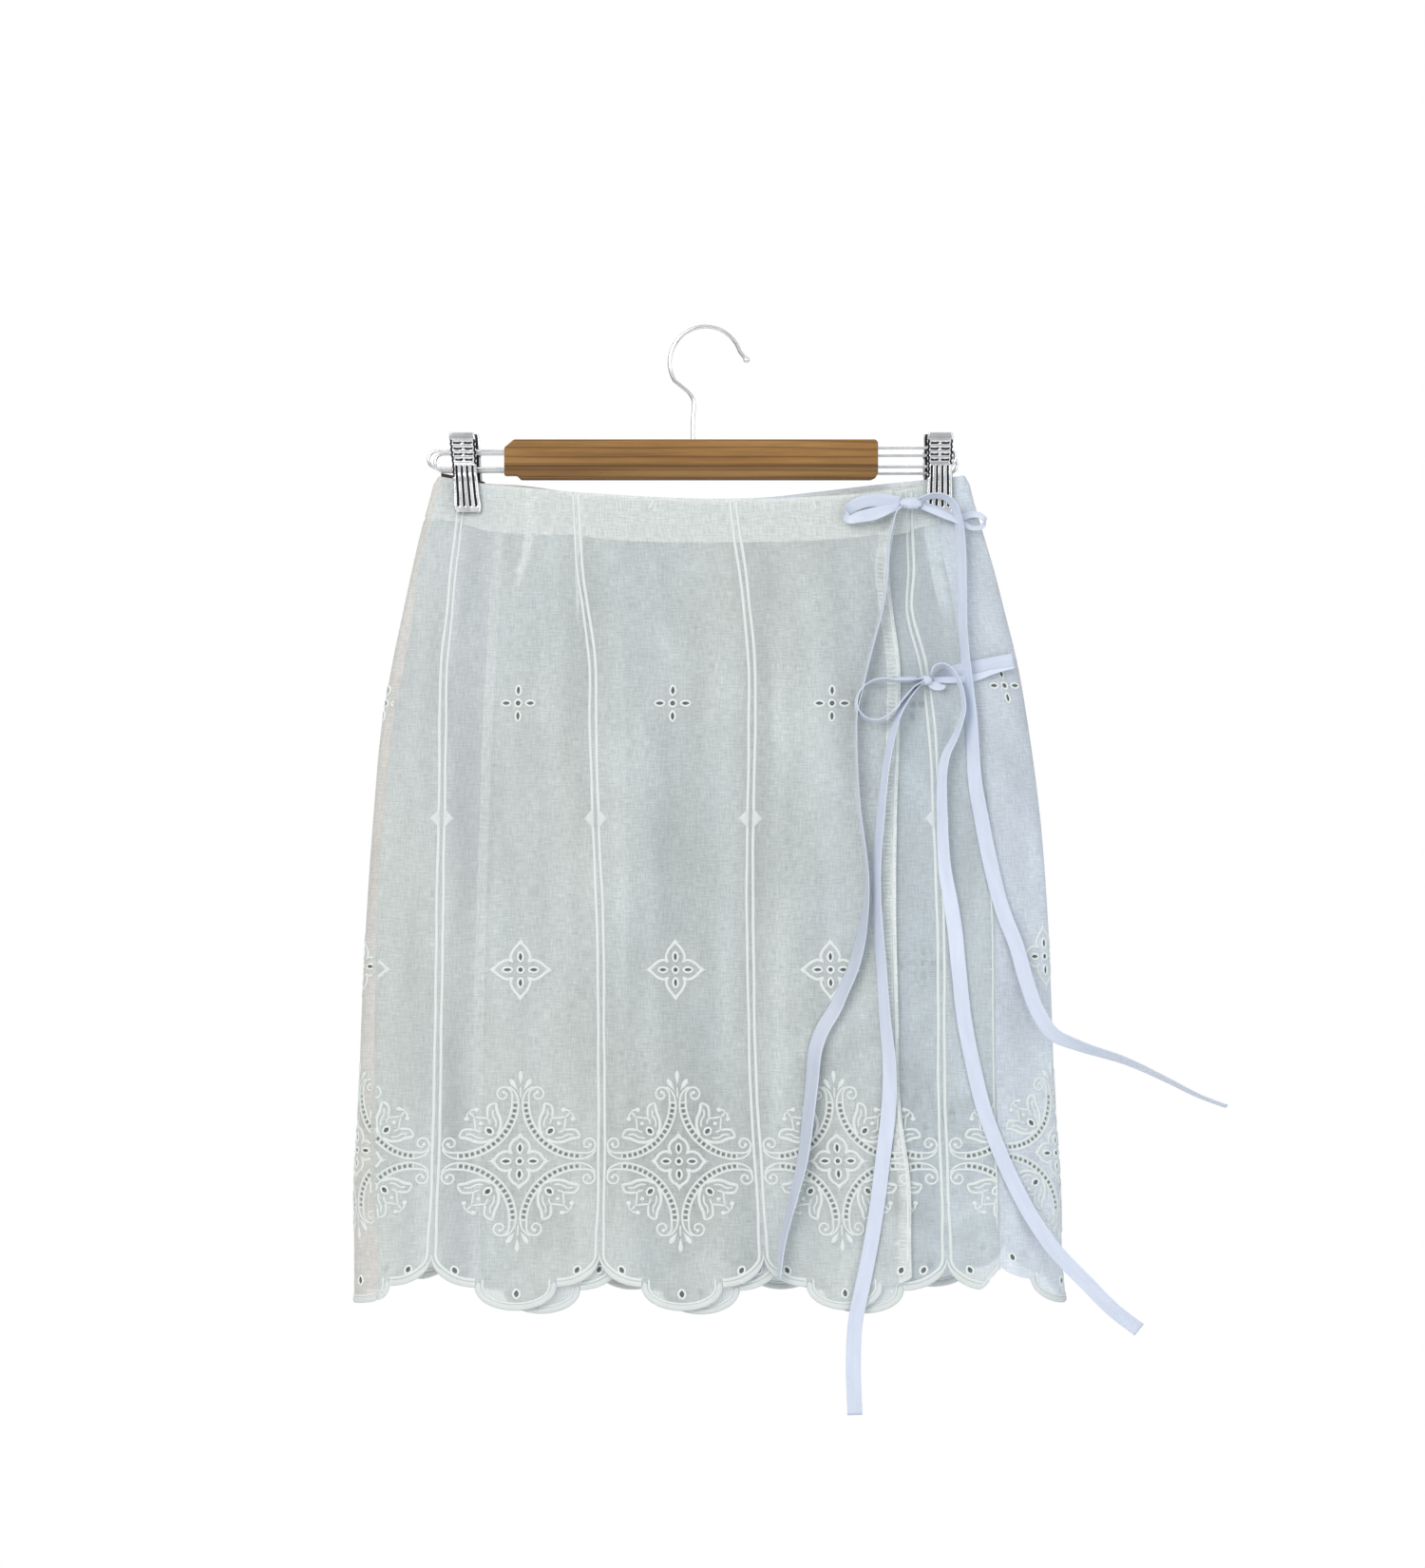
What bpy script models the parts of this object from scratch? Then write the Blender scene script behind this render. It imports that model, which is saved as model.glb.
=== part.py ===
"""Cutwork cotton wrap skirt, tied with two ribbon bows, on a wooden hanger with two clips.

Metres, +Z up, the front towards -Y. The origin is the inner top of the hook, where a rail carries it.
"""
import functools
import math

import bmesh
import bpy
import numpy as np
from mathutils import geometry

MM = 0.001
PITCH = 107.0  # one repeat of the cutwork along the cloth, in mm like every size below
WALL = 1.1
TOP_STEP, FOLD_STEP = 8.0, 2.2  # least steps along the top edge, on the flat and at the side folds
LAYER = 1.7  # from one layer of cloth to the next, the wall and the air in it
SEAM = 0.4
EDGE_HEM = 9.0
FACING = 29.0

# How far out the inner face of a facing and of a panel lies, how far the lapped layers rise over the ones
# below, and in what width
INSIDE, PANEL, LAP = 0.0, LAYER, 2 * LAYER
LAP_WIDTH = 26.0

# Lines down the skirt, as x at each height z
LINES = (
    "z", "left", "left_seam", "stripe_a", "stripe_b", "stripe_c", "over_edge", "under_edge",
    "under_1", "under_2", "stripe_d", "right_seam", "right", "depth",
)
SKIRT = (
    (-96, -178, -174.5, -163, -89, 17.5, 134.5, -134.5, -46, 60, 136.5, 151, 174, 7),
    (-115, -183, -180, -164, -87, 18.5, 132, -135.5, -46, 60, 136.5, 153, 178.5, 7.5),
    (-141, -190, -186.5, -166.5, -85.5, 21.5, 125.5, -142.5, -50, 56, 137, 157.5, 186, 8.5),
    (-163, -195, -192, -168.5, -84, 25, 123, -143.5, -52, 54, 138, 162, 192.5, 9.5),
    (-188.5, -200.5, -195, -170, -80, 28, 125.5, -144.5, -57.5, 47.5, 137, 167, 199, 10.5),
    (-227, -208.5, -201.5, -174, -75, 31.5, 130.5, -146.5, -58, 47.5, 146.5, 173, 208.5, 12),
    (-265, -215, -208.5, -175, -75, 31.5, 130.5, -148.5, -57, 49.5, 151.5, 180.5, 215, 14),
    (-329, -221, -214.5, -175.5, -73, 30.5, 128.5, -150.5, -56.5, 50, 155, 190, 223.5, 17),
    (-393, -225.5, -219, -176.5, -70, 30, 128, -152.5, -56, 50.5, 157.5, 194, 228.5, 20),
    (-463.5, -229, -220.5, -177.5, -69, 31, 129.5, -154, -55.5, 50.5, 158, 194.5, 231.5, 22.5),
    (-521, -231, -221, -178, -68.5, 33, 131, -155, -55.5, 50.5, 158.5, 195, 233.5, 24.5),
    (-572.5, -234, -221.5, -179.5, -69, 36, 137.5, -155.5, -55.5, 50.5, 160, 196.5, 237, 26.5),
    (-623.5, -234, -218, -181.5, -70, 39, 138, -156, -55.5, 50.5, 161.5, 197, 238.5, 28),
    (-662, -234, -217, -182.5, -70, 41, 139.5, -156, -55.5, 50.5, 162, 198, 241.5, 29),
)
FRONT_TOP = (
    (-178, -100), (-161.5, -102.8), (-149, -105), (-116.5, -108.5), (-87, -111), (-39.5, -114),
    (0, -115.5), (37, -115.5), (75.5, -114), (118, -110.5), (148, -104.5), (167, -100.2), (174, -99),
)
BACK_TOP = (
    (-178, -100), (-149, -104), (-126, -105), (-91, -109.5), (-39.5, -113), (0, -114),
    (37, -113.5), (75.5, -109.5), (118, -104.5), (147, -101.8), (174, -99.5),
)
# Repeats of the cutwork between a side seam and the motif that lies nearest the side fold
BACK_REPEATS = 5
LEFT_SHARE = ((-96, 0.05), (-300, 0.10), (-560, 0.14), (-662, 0.14))
RIGHT_SHARE = ((-96, 0.20), (-240, 0.27), (-420, 0.36), (-560, 0.43), (-662, 0.45))

# Soft vertical folds: where, half width, height, where they begin
FRONT_FOLDS = ((-150, 34, 3.2, -200), (-78, 34, -2.6, -230), (-8, 36, 3.0, -280), (84, 36, -2.8, -220),
               (172, 34, 3.4, -200))
BACK_FOLDS = ((-158, 36, -2.6, -240), (-88, 36, 3.4, -200), (-10, 36, -3.0, -180), (70, 36, 3.4, -220),
              (150, 36, -2.8, -240))

# Hem scallops, as heights and the half width of the middle lobe
HEM_NOTCH, HEM_SHOULDER, HEM_TIP = -621.0, -641.5, -657.5
LOBE = 25.6
UNDER_DROP, BACK_DROP = 2.5, 4.0

# How the clips press the layers together: below which height it fades, over what height, how wide, how much
GRIP_FOOT, GRIP_FADE, GRIP_HALF, GRIP = -190.0, 60.0, 26.0, 0.86
CLIP_PLACES = (-159.0, 158.0)

# Where the facings begin and end, and how far their upper edge lies below the top of the panel
OVER_FACING_ENDS, UNDER_FACING_ENDS, BACK_FACING_ENDS = (-171.0, 130.0), (-130.0, 168.0), (-165.0, 164.0)
FACING_DROP, TOP_Z = 2.0, -102.0
UNDER_TOP_DROP = 1.2
SIDE_HEM_TOP, SIDE_HEM_FOOT = -144.0, -634.0

# Below this height the cutwork follows a panel that hangs lower, over this much height
DROP_START, DROP_FADE = -550.0, 80.0
# Eyelets of one repeat: place from the middle of the repeat, height, half length, half width, turn, corners
SPRIG_Z, QUATREFOIL_Z, MEDALLION_Z = -253.0, -431.0, -558.5
EYELETS = (
    (0, SPRIG_Z, 2.6, 2.6, 0, 6),
    (8.4, SPRIG_Z, 3.2, 1.6, 0, 4),
    (-8.4, SPRIG_Z, 3.2, 1.6, 0, 4),
    (0, SPRIG_Z + 8.4, 3.2, 1.6, 90, 4),
    (0, SPRIG_Z - 8.4, 3.2, 1.6, 90, 4),
    (0, QUATREFOIL_Z, 2.4, 2.4, 0, 6),
    (8.7, QUATREFOIL_Z, 3.2, 1.7, 0, 4),
    (-8.7, QUATREFOIL_Z, 3.2, 1.7, 0, 4),
    (0, QUATREFOIL_Z + 8.7, 3.2, 1.7, 90, 4),
    (0, QUATREFOIL_Z - 8.7, 3.2, 1.7, 90, 4),
    (19.3, MEDALLION_Z + 19.5, 2.8, 1.8, 60, 4),
    (-19.3, MEDALLION_Z + 19.5, 2.8, 1.8, 120, 4),
    (19.3, MEDALLION_Z - 19.5, 2.8, 1.8, -60, 4),
    (-19.3, MEDALLION_Z - 19.5, 2.8, 1.8, -120, 4),
    (0, -647.0, 2.9, 1.9, 90, 4),
    (38.5, -631.0, 2.8, 1.9, 60, 4),
    (-38.5, -631.0, 2.8, 1.9, 120, 4),
)

# Mesh lines shared by every layer, so that the layers follow each other
STEPS_ROUND = 36
ROWS = (-104, -122, -141, -163, -188, -220, -265, -310, -355, -400, -445, -490, -530, -560, -590, -615, -636)

# Hanger
HOOK_WIRE, HOOK_RADIUS, HOOK_TURN_X = 1.45, 24.2, 0.5
STEM_X = -8.0
BAR_LEFT, BAR_RIGHT, BAR_TOP, BAR_BOTTOM, BAR_DEPTH = -135.0, 116.5, -75.0, -102.0, 12.0
RAIL_WIRE = 1.05
RAIL_PLANE = 2.4
RAIL_INSET = 14.0
PIVOT_Z = -89.35

RIBBON_WALL = 1.0


def material(name, colour, roughness, metallic=0.0):
    mat = bpy.data.materials.new(name)
    mat.use_nodes = True
    shader = mat.node_tree.nodes["Principled BSDF"]
    shader.inputs["Base Color"].default_value = (*colour, 1.0)
    shader.inputs["Roughness"].default_value = roughness
    shader.inputs["Metallic"].default_value = metallic
    return mat


def smooth(t):
    t = np.clip(t, 0.0, 1.0)
    return t * t * (3.0 - 2.0 * t)


@functools.lru_cache(maxsize=None)
def knots(points):
    """Places, values and slopes of a smooth line through the points."""
    points = sorted(points)
    xs = np.array([p[0] for p in points], float)
    ys = np.array([p[1] for p in points], float)
    return xs, ys, np.gradient(ys, xs)


def through(points, at):
    """A smooth line through the points, read at the places given."""
    xs, ys, slopes = knots(tuple(points))
    at = np.clip(np.asarray(at, float), xs[0], xs[-1])
    i = np.clip(np.searchsorted(xs, at) - 1, 0, len(xs) - 2)
    step = xs[i + 1] - xs[i]
    t = (at - xs[i]) / step
    a = (1 + 2 * t) * (1 - t) ** 2 * ys[i] + t * t * (3 - 2 * t) * ys[i + 1]
    return a + (t * (1 - t) ** 2 * slopes[i] - t * t * (1 - t) * slopes[i + 1]) * step


@functools.lru_cache(maxsize=None)
def line_points(name):
    column = LINES.index(name)
    return tuple((row[0], row[column]) for row in SKIRT)


def line(name, z):
    return through(line_points(name), z)


# The ring of cloth at each height: the turn runs from the left side (0) over the front to the right side
# (pi), and over the back to it as (-pi)
def folds(rows, x, z):
    total = np.zeros_like(x)
    for middle, half, height, start in rows:
        growth = smooth((start - z) / (start - HEM_TIP))
        total = total + height * growth * np.exp(-(((x - middle) / half) ** 2))
    return total


def pinch(x, z):
    """How flat the clips press the cloth together."""
    grip = smooth((z - GRIP_FOOT) / GRIP_FADE)
    near = sum(np.exp(-(((x - at) / GRIP_HALF) ** 2)) for at in CLIP_PLACES)
    return 1.0 - GRIP * grip * near


def ring(turn, z):
    left, right = line("left", z), line("right", z)
    cosine = np.cos(turn)
    x = (left + right) / 2 - cosine * (right - left) / 2
    fold = np.where(turn > 0, folds(FRONT_FOLDS, x, z), folds(BACK_FOLDS, x, z))
    depth = line("depth", z) * pinch(x, z) + fold
    y = -depth * np.sin(turn) * np.sqrt(1 + cosine**2 + cosine**4)
    return np.stack([x, y, z + 0.0 * x], -1)


def place(turn, z, out):
    """Points of the cloth, moved out from the ring by so many mm."""
    turn, z = np.broadcast_arrays(np.asarray(turn, float), np.asarray(z, float))
    eps = 0.004
    along = ring(turn + eps, z) - ring(turn - eps, z)
    up = ring(turn, z + 0.5) - ring(turn, z - 0.5)
    normal = np.cross(along, up)
    normal /= np.linalg.norm(normal, axis=-1, keepdims=True)
    return ring(turn, z) + normal * np.asarray(out, float)[..., None]


def front_turn(x, z):
    left, right = line("left", z), line("right", z)
    return np.arccos(np.clip((left + right - 2 * x) / (right - left), -1, 1))


def flat_level(value):
    """A layer that lies at one distance from the ring."""
    def level(x, z):
        return np.full_like(x, value)
    return level


def lapped_level(low, high):
    """A layer that starts level with the back panel at the left seam and rises over the one below."""
    def level(x, z):
        return low + (high - low) * smooth((x - line("left_seam", z)) / LAP_WIDTH)
    return level


# Each panel gives its side edges and the way from cloth repeats to the turn of the ring
class FrontPanel:
    def __init__(self, stops, left, right, first):
        self.stops, self.left, self.right, self.first = stops, left, right, first
        self.top, self.back = FRONT_TOP, False

    def grid(self, z):
        marks = [float(line(name, z)) for name in self.stops]
        marks = [marks[0] - PITCH, *marks, marks[-1] + PITCH]
        return marks, [self.first - 1 + k for k in range(len(marks))]

    def repeats(self, turn, z):
        marks, numbers = self.grid(z)
        return float(np.interp(float(ring(np.array([turn]), np.array([float(z)]))[0, 0]), marks, numbers))

    def x(self, repeat, z):
        marks, numbers = self.grid(z)
        return float(np.interp(repeat, numbers, marks))

    def turn(self, repeat, z):
        return float(front_turn(self.x(repeat, z), z))

    def mesh_turns(self):
        return [math.pi * k / STEPS_ROUND for k in range(1, STEPS_ROUND)]

    def gap(self, z):
        return SEAM / 2 / PITCH

    def edges(self, z):
        marks, numbers = self.grid(z)
        return [float(np.interp(float(line(name, z)), marks, numbers)) for name in (self.left, self.right)]


class BackPanel:
    def __init__(self):
        self.top, self.back = BACK_TOP, True

    @functools.lru_cache(maxsize=None)
    def route(self, z):
        """Turns from the left seam round the back to the right seam, and how far along each is."""
        start = float(front_turn(line("left_seam", z), z))
        end = float(front_turn(line("right_seam", z), z)) - 2 * math.pi
        turns = np.linspace(start, end, 400)
        wrapped = np.where(turns < -math.pi, turns + 2 * math.pi, turns)
        points = ring(wrapped, np.full_like(turns, z))
        steps = np.linalg.norm(np.diff(points, axis=0), axis=1)
        return turns, np.concatenate([[0.0], np.cumsum(steps)])

    def mesh_turns(self):
        """Mesh lines from the front left, round the back, to the front right."""
        return [-math.pi * k / STEPS_ROUND for k in range(-8, STEPS_ROUND + 12)]

    def gap(self, z):
        low, high = self.edges(z)
        return SEAM / 2 * (high - low) / self.route(z)[1][-1]

    def edges(self, z):
        return [
            0.5 - float(through(LEFT_SHARE, z)),
            0.5 + BACK_REPEATS + float(through(RIGHT_SHARE, z)),
        ]

    def repeats(self, turn, z):
        turns, along = self.route(z)
        low, high = self.edges(z)
        return low + (high - low) * float(np.interp(-turn, -turns, along)) / along[-1]

    def turn(self, repeat, z):
        turns, along = self.route(z)
        low, high = self.edges(z)
        turn = float(np.interp((repeat - low) / (high - low) * along[-1], along, turns))
        return turn + 2 * math.pi if turn < -math.pi else turn


def hem(repeat):
    """The scalloped hem: a middle lobe with a shoulder on each side."""
    away = abs(repeat - math.floor(repeat) - 0.5) * PITCH
    if away <= LOBE:
        return HEM_SHOULDER + (HEM_TIP - HEM_SHOULDER) * math.sqrt(1 - (away / LOBE) ** 2)
    share = (away - LOBE) / (PITCH / 2 - LOBE)
    return HEM_NOTCH + (HEM_SHOULDER - HEM_NOTCH) * math.sqrt(max(0.0, 1 - share**2))


def hem_samples(low, high):
    """Where the hem has a corner or bends, in repeats, between two edges."""
    lobe = LOBE / PITCH
    within = [0.5 + lobe * math.sin(math.radians(a)) for a in (-90, -62, -32, 0, 32, 62, 90)]
    side = [0.5 + lobe + (0.5 - lobe) * math.sin(math.radians(a)) for a in (25, 50, 72)]
    within += side + [1 - s for s in side] + [0.0]
    marks = [n + w for n in range(math.floor(low), math.ceil(high) + 1) for w in within]
    return sorted(m for m in marks if low + 0.012 < m < high - 0.012)


def top_height(panel, repeat, drop):
    z = -105.0
    for _ in range(12):
        turn = panel.turn(repeat, z)
        x = float(ring(np.array([turn]), np.array([z]))[0, 0])
        table = panel.top if not panel.back or turn < 0 else FRONT_TOP
        z = float(through(table, x)) - drop
    return z


def outline(panel, top_drop, hem_drop):
    """Corners of the flat panel: down the left edge, along the hem, up the right edge, along the top."""
    low_hem, high_hem = (panel.edges(hem(edge))[k] for k, edge in enumerate(panel.edges(-640.0)))
    rows = [z for z in ROWS if z < -118]
    left = [(panel.edges(z)[0] + panel.gap(z), z) for z in rows if z > hem(low_hem) + 8]
    right = [(panel.edges(z)[1] - panel.gap(z), z) for z in rows if z > hem(high_hem) + 8]
    low_hem += panel.gap(HEM_TIP)
    high_hem -= panel.gap(HEM_TIP)
    bottom = [(low_hem, hem(low_hem) - hem_drop)]
    bottom += [(r, hem(r) - hem_drop) for r in hem_samples(low_hem, high_hem)]
    bottom += [(high_hem, hem(high_hem) - hem_drop)]
    low_z, high_z = (top_height(panel, edge, top_drop) for edge in panel.edges(TOP_Z))
    low_top = panel.edges(low_z)[0] + panel.gap(low_z)
    high_top = panel.edges(high_z)[1] - panel.gap(high_z)
    top = [low_top]
    for turn in panel.mesh_turns():
        repeat = panel.repeats(turn, -104.0)
        step = FOLD_STEP if abs(math.sin(turn)) < 0.4 else TOP_STEP
        if top[-1] + step / PITCH < repeat < high_top - step / PITCH:
            top.append(repeat)
    top = [(r, top_height(panel, r, top_drop)) for r in [*top, high_top]]
    return left + bottom + right[::-1] + top[::-1]


def eyelets(panel, drop):
    """Corner loops of every eyelet that lies whole inside the panel."""
    loops = []
    low, high = min(panel.edges(z)[0] for z in ROWS), max(panel.edges(z)[1] for z in ROWS)
    for column in range(math.floor(low), math.ceil(high)):
        for across, z, half_long, half_wide, turn, corners in EYELETS:
            z -= drop * smooth((DROP_START - z) / DROP_FADE)
            cos, sin = math.cos(math.radians(turn)), math.sin(math.radians(turn))
            loop = []
            for k in range(corners):
                a = 2 * math.pi * k / corners
                s, t = half_long * math.cos(a), half_wide * math.sin(a)
                loop.append(((column + 0.5) + (across + s * cos - t * sin) / PITCH, z + s * sin + t * cos))
            left, right = panel.edges(z)
            if all(left + 0.035 < r < right - 0.035 for r, _ in loop):
                loops.append(loop)
    return loops


def flat_mesh(panel, top_drop, hem_drop):
    """Corners, border and triangles of the flat panel, cut round its eyelets."""
    border = outline(panel, top_drop, hem_drop)
    loops = eyelets(panel, hem_drop)
    points = list(border)
    rims = [list(range(len(border)))]
    for loop in loops:
        rims.append(list(range(len(points), len(points) + len(loop))))
        points += loop
    middles = np.array([np.mean(np.array(loop) * [PITCH, 1], axis=0) for loop in loops])
    border_mm = np.array(border) * [PITCH, 1]
    for z in ROWS:
        left, right = panel.edges(z)
        for turn in panel.mesh_turns():
            repeat = panel.repeats(turn, z)
            here = np.array([repeat * PITCH, z])
            if not left + 0.04 < repeat < right - 0.04 or z < hem(repeat) + 6:
                continue
            if z > top_height(panel, repeat, top_drop) - 6:
                continue
            if np.min(np.linalg.norm(middles - here, axis=1)) < 6.0:
                continue
            if np.min(np.linalg.norm(border_mm - here, axis=1)) < 5.0:
                continue
            points.append((repeat, float(z)))
    flat = [(r * PITCH, z) for r, z in points]
    found, _, faces, _, _, inside = geometry.delaunay_2d_cdt(flat, [], rims, 1, 1e-5, True)
    kept = [tuple(face) for face, rim in zip(faces, inside) if list(rim) == [0]]
    return [(p[0] / PITCH, p[1]) for p in found], kept


def shell(name, mat, outer, inner, faces):
    """A closed wall between two sets of matching points."""
    used = sorted({i for face in faces for i in face})
    number = {old: new for new, old in enumerate(used)}
    count = len(used)
    faces = [tuple(number[i] for i in face) for face in faces]
    solid = list(faces) + [tuple(i + count for i in reversed(face)) for face in faces]
    directed = {}
    for face in faces:
        for a, b in zip(face, face[1:] + face[:1]):
            directed[(a, b)] = True
    for a, b in directed:
        if (b, a) not in directed:
            solid.append((b, a, a + count))
            solid.append((b, a + count, b + count))
    points = [tuple(outer[i] * MM) for i in used] + [tuple(inner[i] * MM) for i in used]
    return add(name, mat, points, solid)


def add(name, mat, points, faces):
    mesh = bpy.data.meshes.new(name)
    mesh.from_pydata([tuple(map(float, p)) for p in points], [], faces)
    work = bmesh.new()
    work.from_mesh(mesh)
    bmesh.ops.recalc_face_normals(work, faces=work.faces)
    if work.calc_volume(signed=True) < 0:
        bmesh.ops.reverse_faces(work, faces=work.faces)
    work.to_mesh(mesh)
    work.free()
    obj = bpy.data.objects.new(name, mesh)
    if mat:
        obj.data.materials.append(mat)
    bpy.context.collection.objects.link(obj)
    return obj


def grid_shell(name, mat, outer, inner):
    """A closed wall between two grids of points, each a list of rows."""
    rows, columns = len(outer), len(outer[0])
    faces = []
    for i in range(rows - 1):
        for j in range(columns - 1):
            a, b = i * columns + j, (i + 1) * columns + j
            faces += [(a, b, b + 1), (a, b + 1, a + 1)]
    flat_outer = [p for row in outer for p in row]
    flat_inner = [p for row in inner for p in row]
    return shell(name, mat, flat_outer, flat_inner, faces)


def cloth_panel(name, mat, panel, level, top_drop, hem_drop):
    corners, faces = flat_mesh(panel, top_drop, hem_drop)
    turns = np.array([panel.turn(r, z) for r, z in corners])
    z = np.array([c[1] for c in corners])
    x = ring(turns, z)[:, 0]
    low = level(x, z)
    return shell(name, mat, place(turns, z, low + WALL), place(turns, z, low), faces)


def ring_strip(name, mat, level, turns, heights_at, steps):
    """A wall along the ring: heights_at gives each row of it, from 0 to 1 down the strip."""
    outer, inner = [], []
    for k in range(steps + 1):
        z = heights_at(turns, k / steps)
        x = ring(turns, z)[:, 0]
        low = level(x, z)
        outer.append(list(place(turns, z, low + WALL)))
        inner.append(list(place(turns, z, low)))
    return grid_shell(name, mat, outer, inner)


def shared_turns(start, end):
    """The two ends and the shared mesh lines between them."""
    marks = [math.pi * k / STEPS_ROUND for k in range(-STEPS_ROUND, STEPS_ROUND + 1)]
    inside = [m for m in marks if min(start, end) + 0.03 < m < max(start, end) - 0.03]
    return np.array([start, *inside, end] if start < end else [start, *inside[::-1], end])


def facing_heights(table, drop):
    def heights(turns, share):
        z = np.full_like(turns, -105.0)
        for _ in range(12):
            z = through(table, ring(turns, z)[:, 0]) - drop - share * FACING
        return z
    return heights


def facing(name, mat, level, ends_x, table, side):
    """The wide hem turned in at the waist. side is 1 at the front and -1 at the back."""
    ends = sorted(side * float(front_turn(x, TOP_Z)) for x in ends_x)
    return ring_strip(name, mat, level, shared_turns(*ends), facing_heights(table, FACING_DROP), 2)


def edge_hem(name, mat, level, edge, inward):
    """The turned and stitched hem down a panel's free edge."""
    inside = [z for z in ROWS if SIDE_HEM_FOOT + 8 < z < SIDE_HEM_TOP - 8]
    heights = np.array([SIDE_HEM_TOP, *inside, SIDE_HEM_FOOT], float)
    outer, inner = [], []
    for z in heights:
        at = float(line(edge, z))
        x = np.array([at + inward * 0.6, at + inward * EDGE_HEM])
        zz = np.full(2, z)
        turns = front_turn(x, zz)
        low = level(x, zz)
        outer.append(list(place(turns, zz, low + WALL)))
        inner.append(list(place(turns, zz, low)))
    return grid_shell(name, mat, outer, inner)


def make_cloth(cotton):
    over = FrontPanel(("stripe_a", "stripe_b", "stripe_c"), "left_seam", "over_edge", 0)
    under = FrontPanel(("under_1", "under_2", "stripe_d"), "under_edge", "right_seam", 0)
    back = BackPanel()
    cloth_panel("over_panel", cotton, over, lapped_level(PANEL, PANEL + LAP), 0.0, 0.0)
    cloth_panel("under_panel", cotton, under, flat_level(PANEL), UNDER_TOP_DROP, UNDER_DROP)
    cloth_panel("back_panel", cotton, back, flat_level(PANEL), 0.0, BACK_DROP)
    facing("over_facing", cotton, lapped_level(INSIDE, LAP), OVER_FACING_ENDS, FRONT_TOP, 1)
    facing("under_facing", cotton, flat_level(INSIDE), UNDER_FACING_ENDS, FRONT_TOP, 1)
    facing("back_facing", cotton, flat_level(INSIDE), BACK_FACING_ENDS, BACK_TOP, -1)
    edge_hem("over_edge_hem", cotton, flat_level(LAP), "over_edge", -1)
    edge_hem("under_edge_hem", cotton, flat_level(INSIDE), "under_edge", 1)


# Ribbons
def cloth_front(x, z):
    """How far forward the outermost cloth lies, kept level past its side folds."""
    z = np.clip(z, -650.0, -104.0)
    left, right = line("left", z), line("right", z)
    half = (right - left) / 2 * 0.86
    middle = (left + right) / 2
    inside = np.clip(x, middle - half, middle + half)
    base = -ring(front_turn(inside, z), z)[..., 1]
    rise = 1 - smooth((x - line("over_edge", z) - 4.0) / 12.0)
    return base + PANEL + WALL + LAP * rise


def curve_through(rows, spacing):
    """Evenly spaced rows on one smooth curve through the rows given."""
    rows = np.array(rows, float)
    chord = np.concatenate([[0], np.cumsum(np.linalg.norm(np.diff(rows[:, :2], axis=0), axis=1) + 0.5)])
    fine = np.linspace(0, chord[-1], 600)
    dense = np.stack([through(list(zip(chord, rows[:, c])), fine) for c in range(rows.shape[1])], -1)
    run = np.concatenate([[0], np.cumsum(np.linalg.norm(np.diff(dense[:, :3], axis=0), axis=1))])
    count = max(4, round(run[-1] / spacing))
    want = np.linspace(0, run[-1], count + 1)
    return np.stack([np.interp(want, run, dense[:, c]) for c in range(rows.shape[1])], -1)


def ribbon(name, mat, rows, spacing, across=None):
    """A flat ribbon. Rows are x, z, distance from the cloth, quarter turn in degrees and width.

    A turn of 0 lies flat on the cloth and 90 stands on edge. across fixes the way the width runs.
    """
    path = curve_through(rows, spacing)
    x, z, out, turn, width = path.T
    middle = np.stack([x, -(cloth_front(x, z) + out), z], -1)
    tangent = np.gradient(middle, axis=0)
    tangent /= np.linalg.norm(tangent, axis=1, keepdims=True)
    if across is None:
        level = np.stack([-tangent[:, 2], 0 * x, tangent[:, 0]], -1)
        level /= np.linalg.norm(level, axis=1, keepdims=True)
        angle = np.radians(turn)[:, None]
        wide = np.cos(angle) * level + np.sin(angle) * np.array([0.0, -1.0, 0.0])
    else:
        wide = np.tile(np.array(across, float), (len(x), 1))
    wide -= tangent * np.sum(wide * tangent, axis=1, keepdims=True)
    wide /= np.linalg.norm(wide, axis=1, keepdims=True)
    thick = np.cross(tangent, wide)
    half = width[:, None] / 2
    sides = []
    for sign in (1, -1):
        face = middle + sign * thick * RIBBON_WALL / 2
        sides.append([[face[i] - wide[i] * half[i], face[i] + wide[i] * half[i]] for i in range(len(x))])
    return grid_shell(name, mat, sides[0], sides[1])


WAIST_TAIL_RIGHT = (
    (145.2, -114.4, 7.6, 50, 6), (150.0, -110.8, 9.2, 40, 8), (156.0, -109.2, 10.5, 25, 9),
    (163.0, -111.0, 11.2, 10, 9), (168.5, -117.5, 11.2, 0, 10), (172.0, -129.0, 10.5, 0, 10),
    (173.0, -150.0, 5.0, 0, 10),
    (173.0, -188.5, 3.2, 0, 10), (174.5, -214.0, 3.4, 0, 10), (177.5, -237.0, 3.4, 0, 10),
    (179.8, -259.5, 3.2, 0, 10), (180.2, -282.5, 2.6, 0, 10), (181.0, -305.5, 2.0, 0, 10),
    (185.0, -328.5, 1.6, 0, 10), (190.5, -356.5, 1.4, 0, 10), (200.0, -393.0, 1.4, 0, 10),
    (208.5, -415.0, 1.6, 0, 10), (215.0, -438.0, 1.8, 5, 10), (223.0, -459.5, 2.4, 12, 10),
    (233.0, -474.0, 3.4, 25, 10), (248.5, -481.0, 4.6, 42, 10), (282.0, -492.0, 5.6, 60, 10),
    (309.0, -504.5, 6.0, 70, 10), (330.0, -515.0, 6.0, 74, 10), (348.5, -522.0, 6.0, 76, 10),
)
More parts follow.
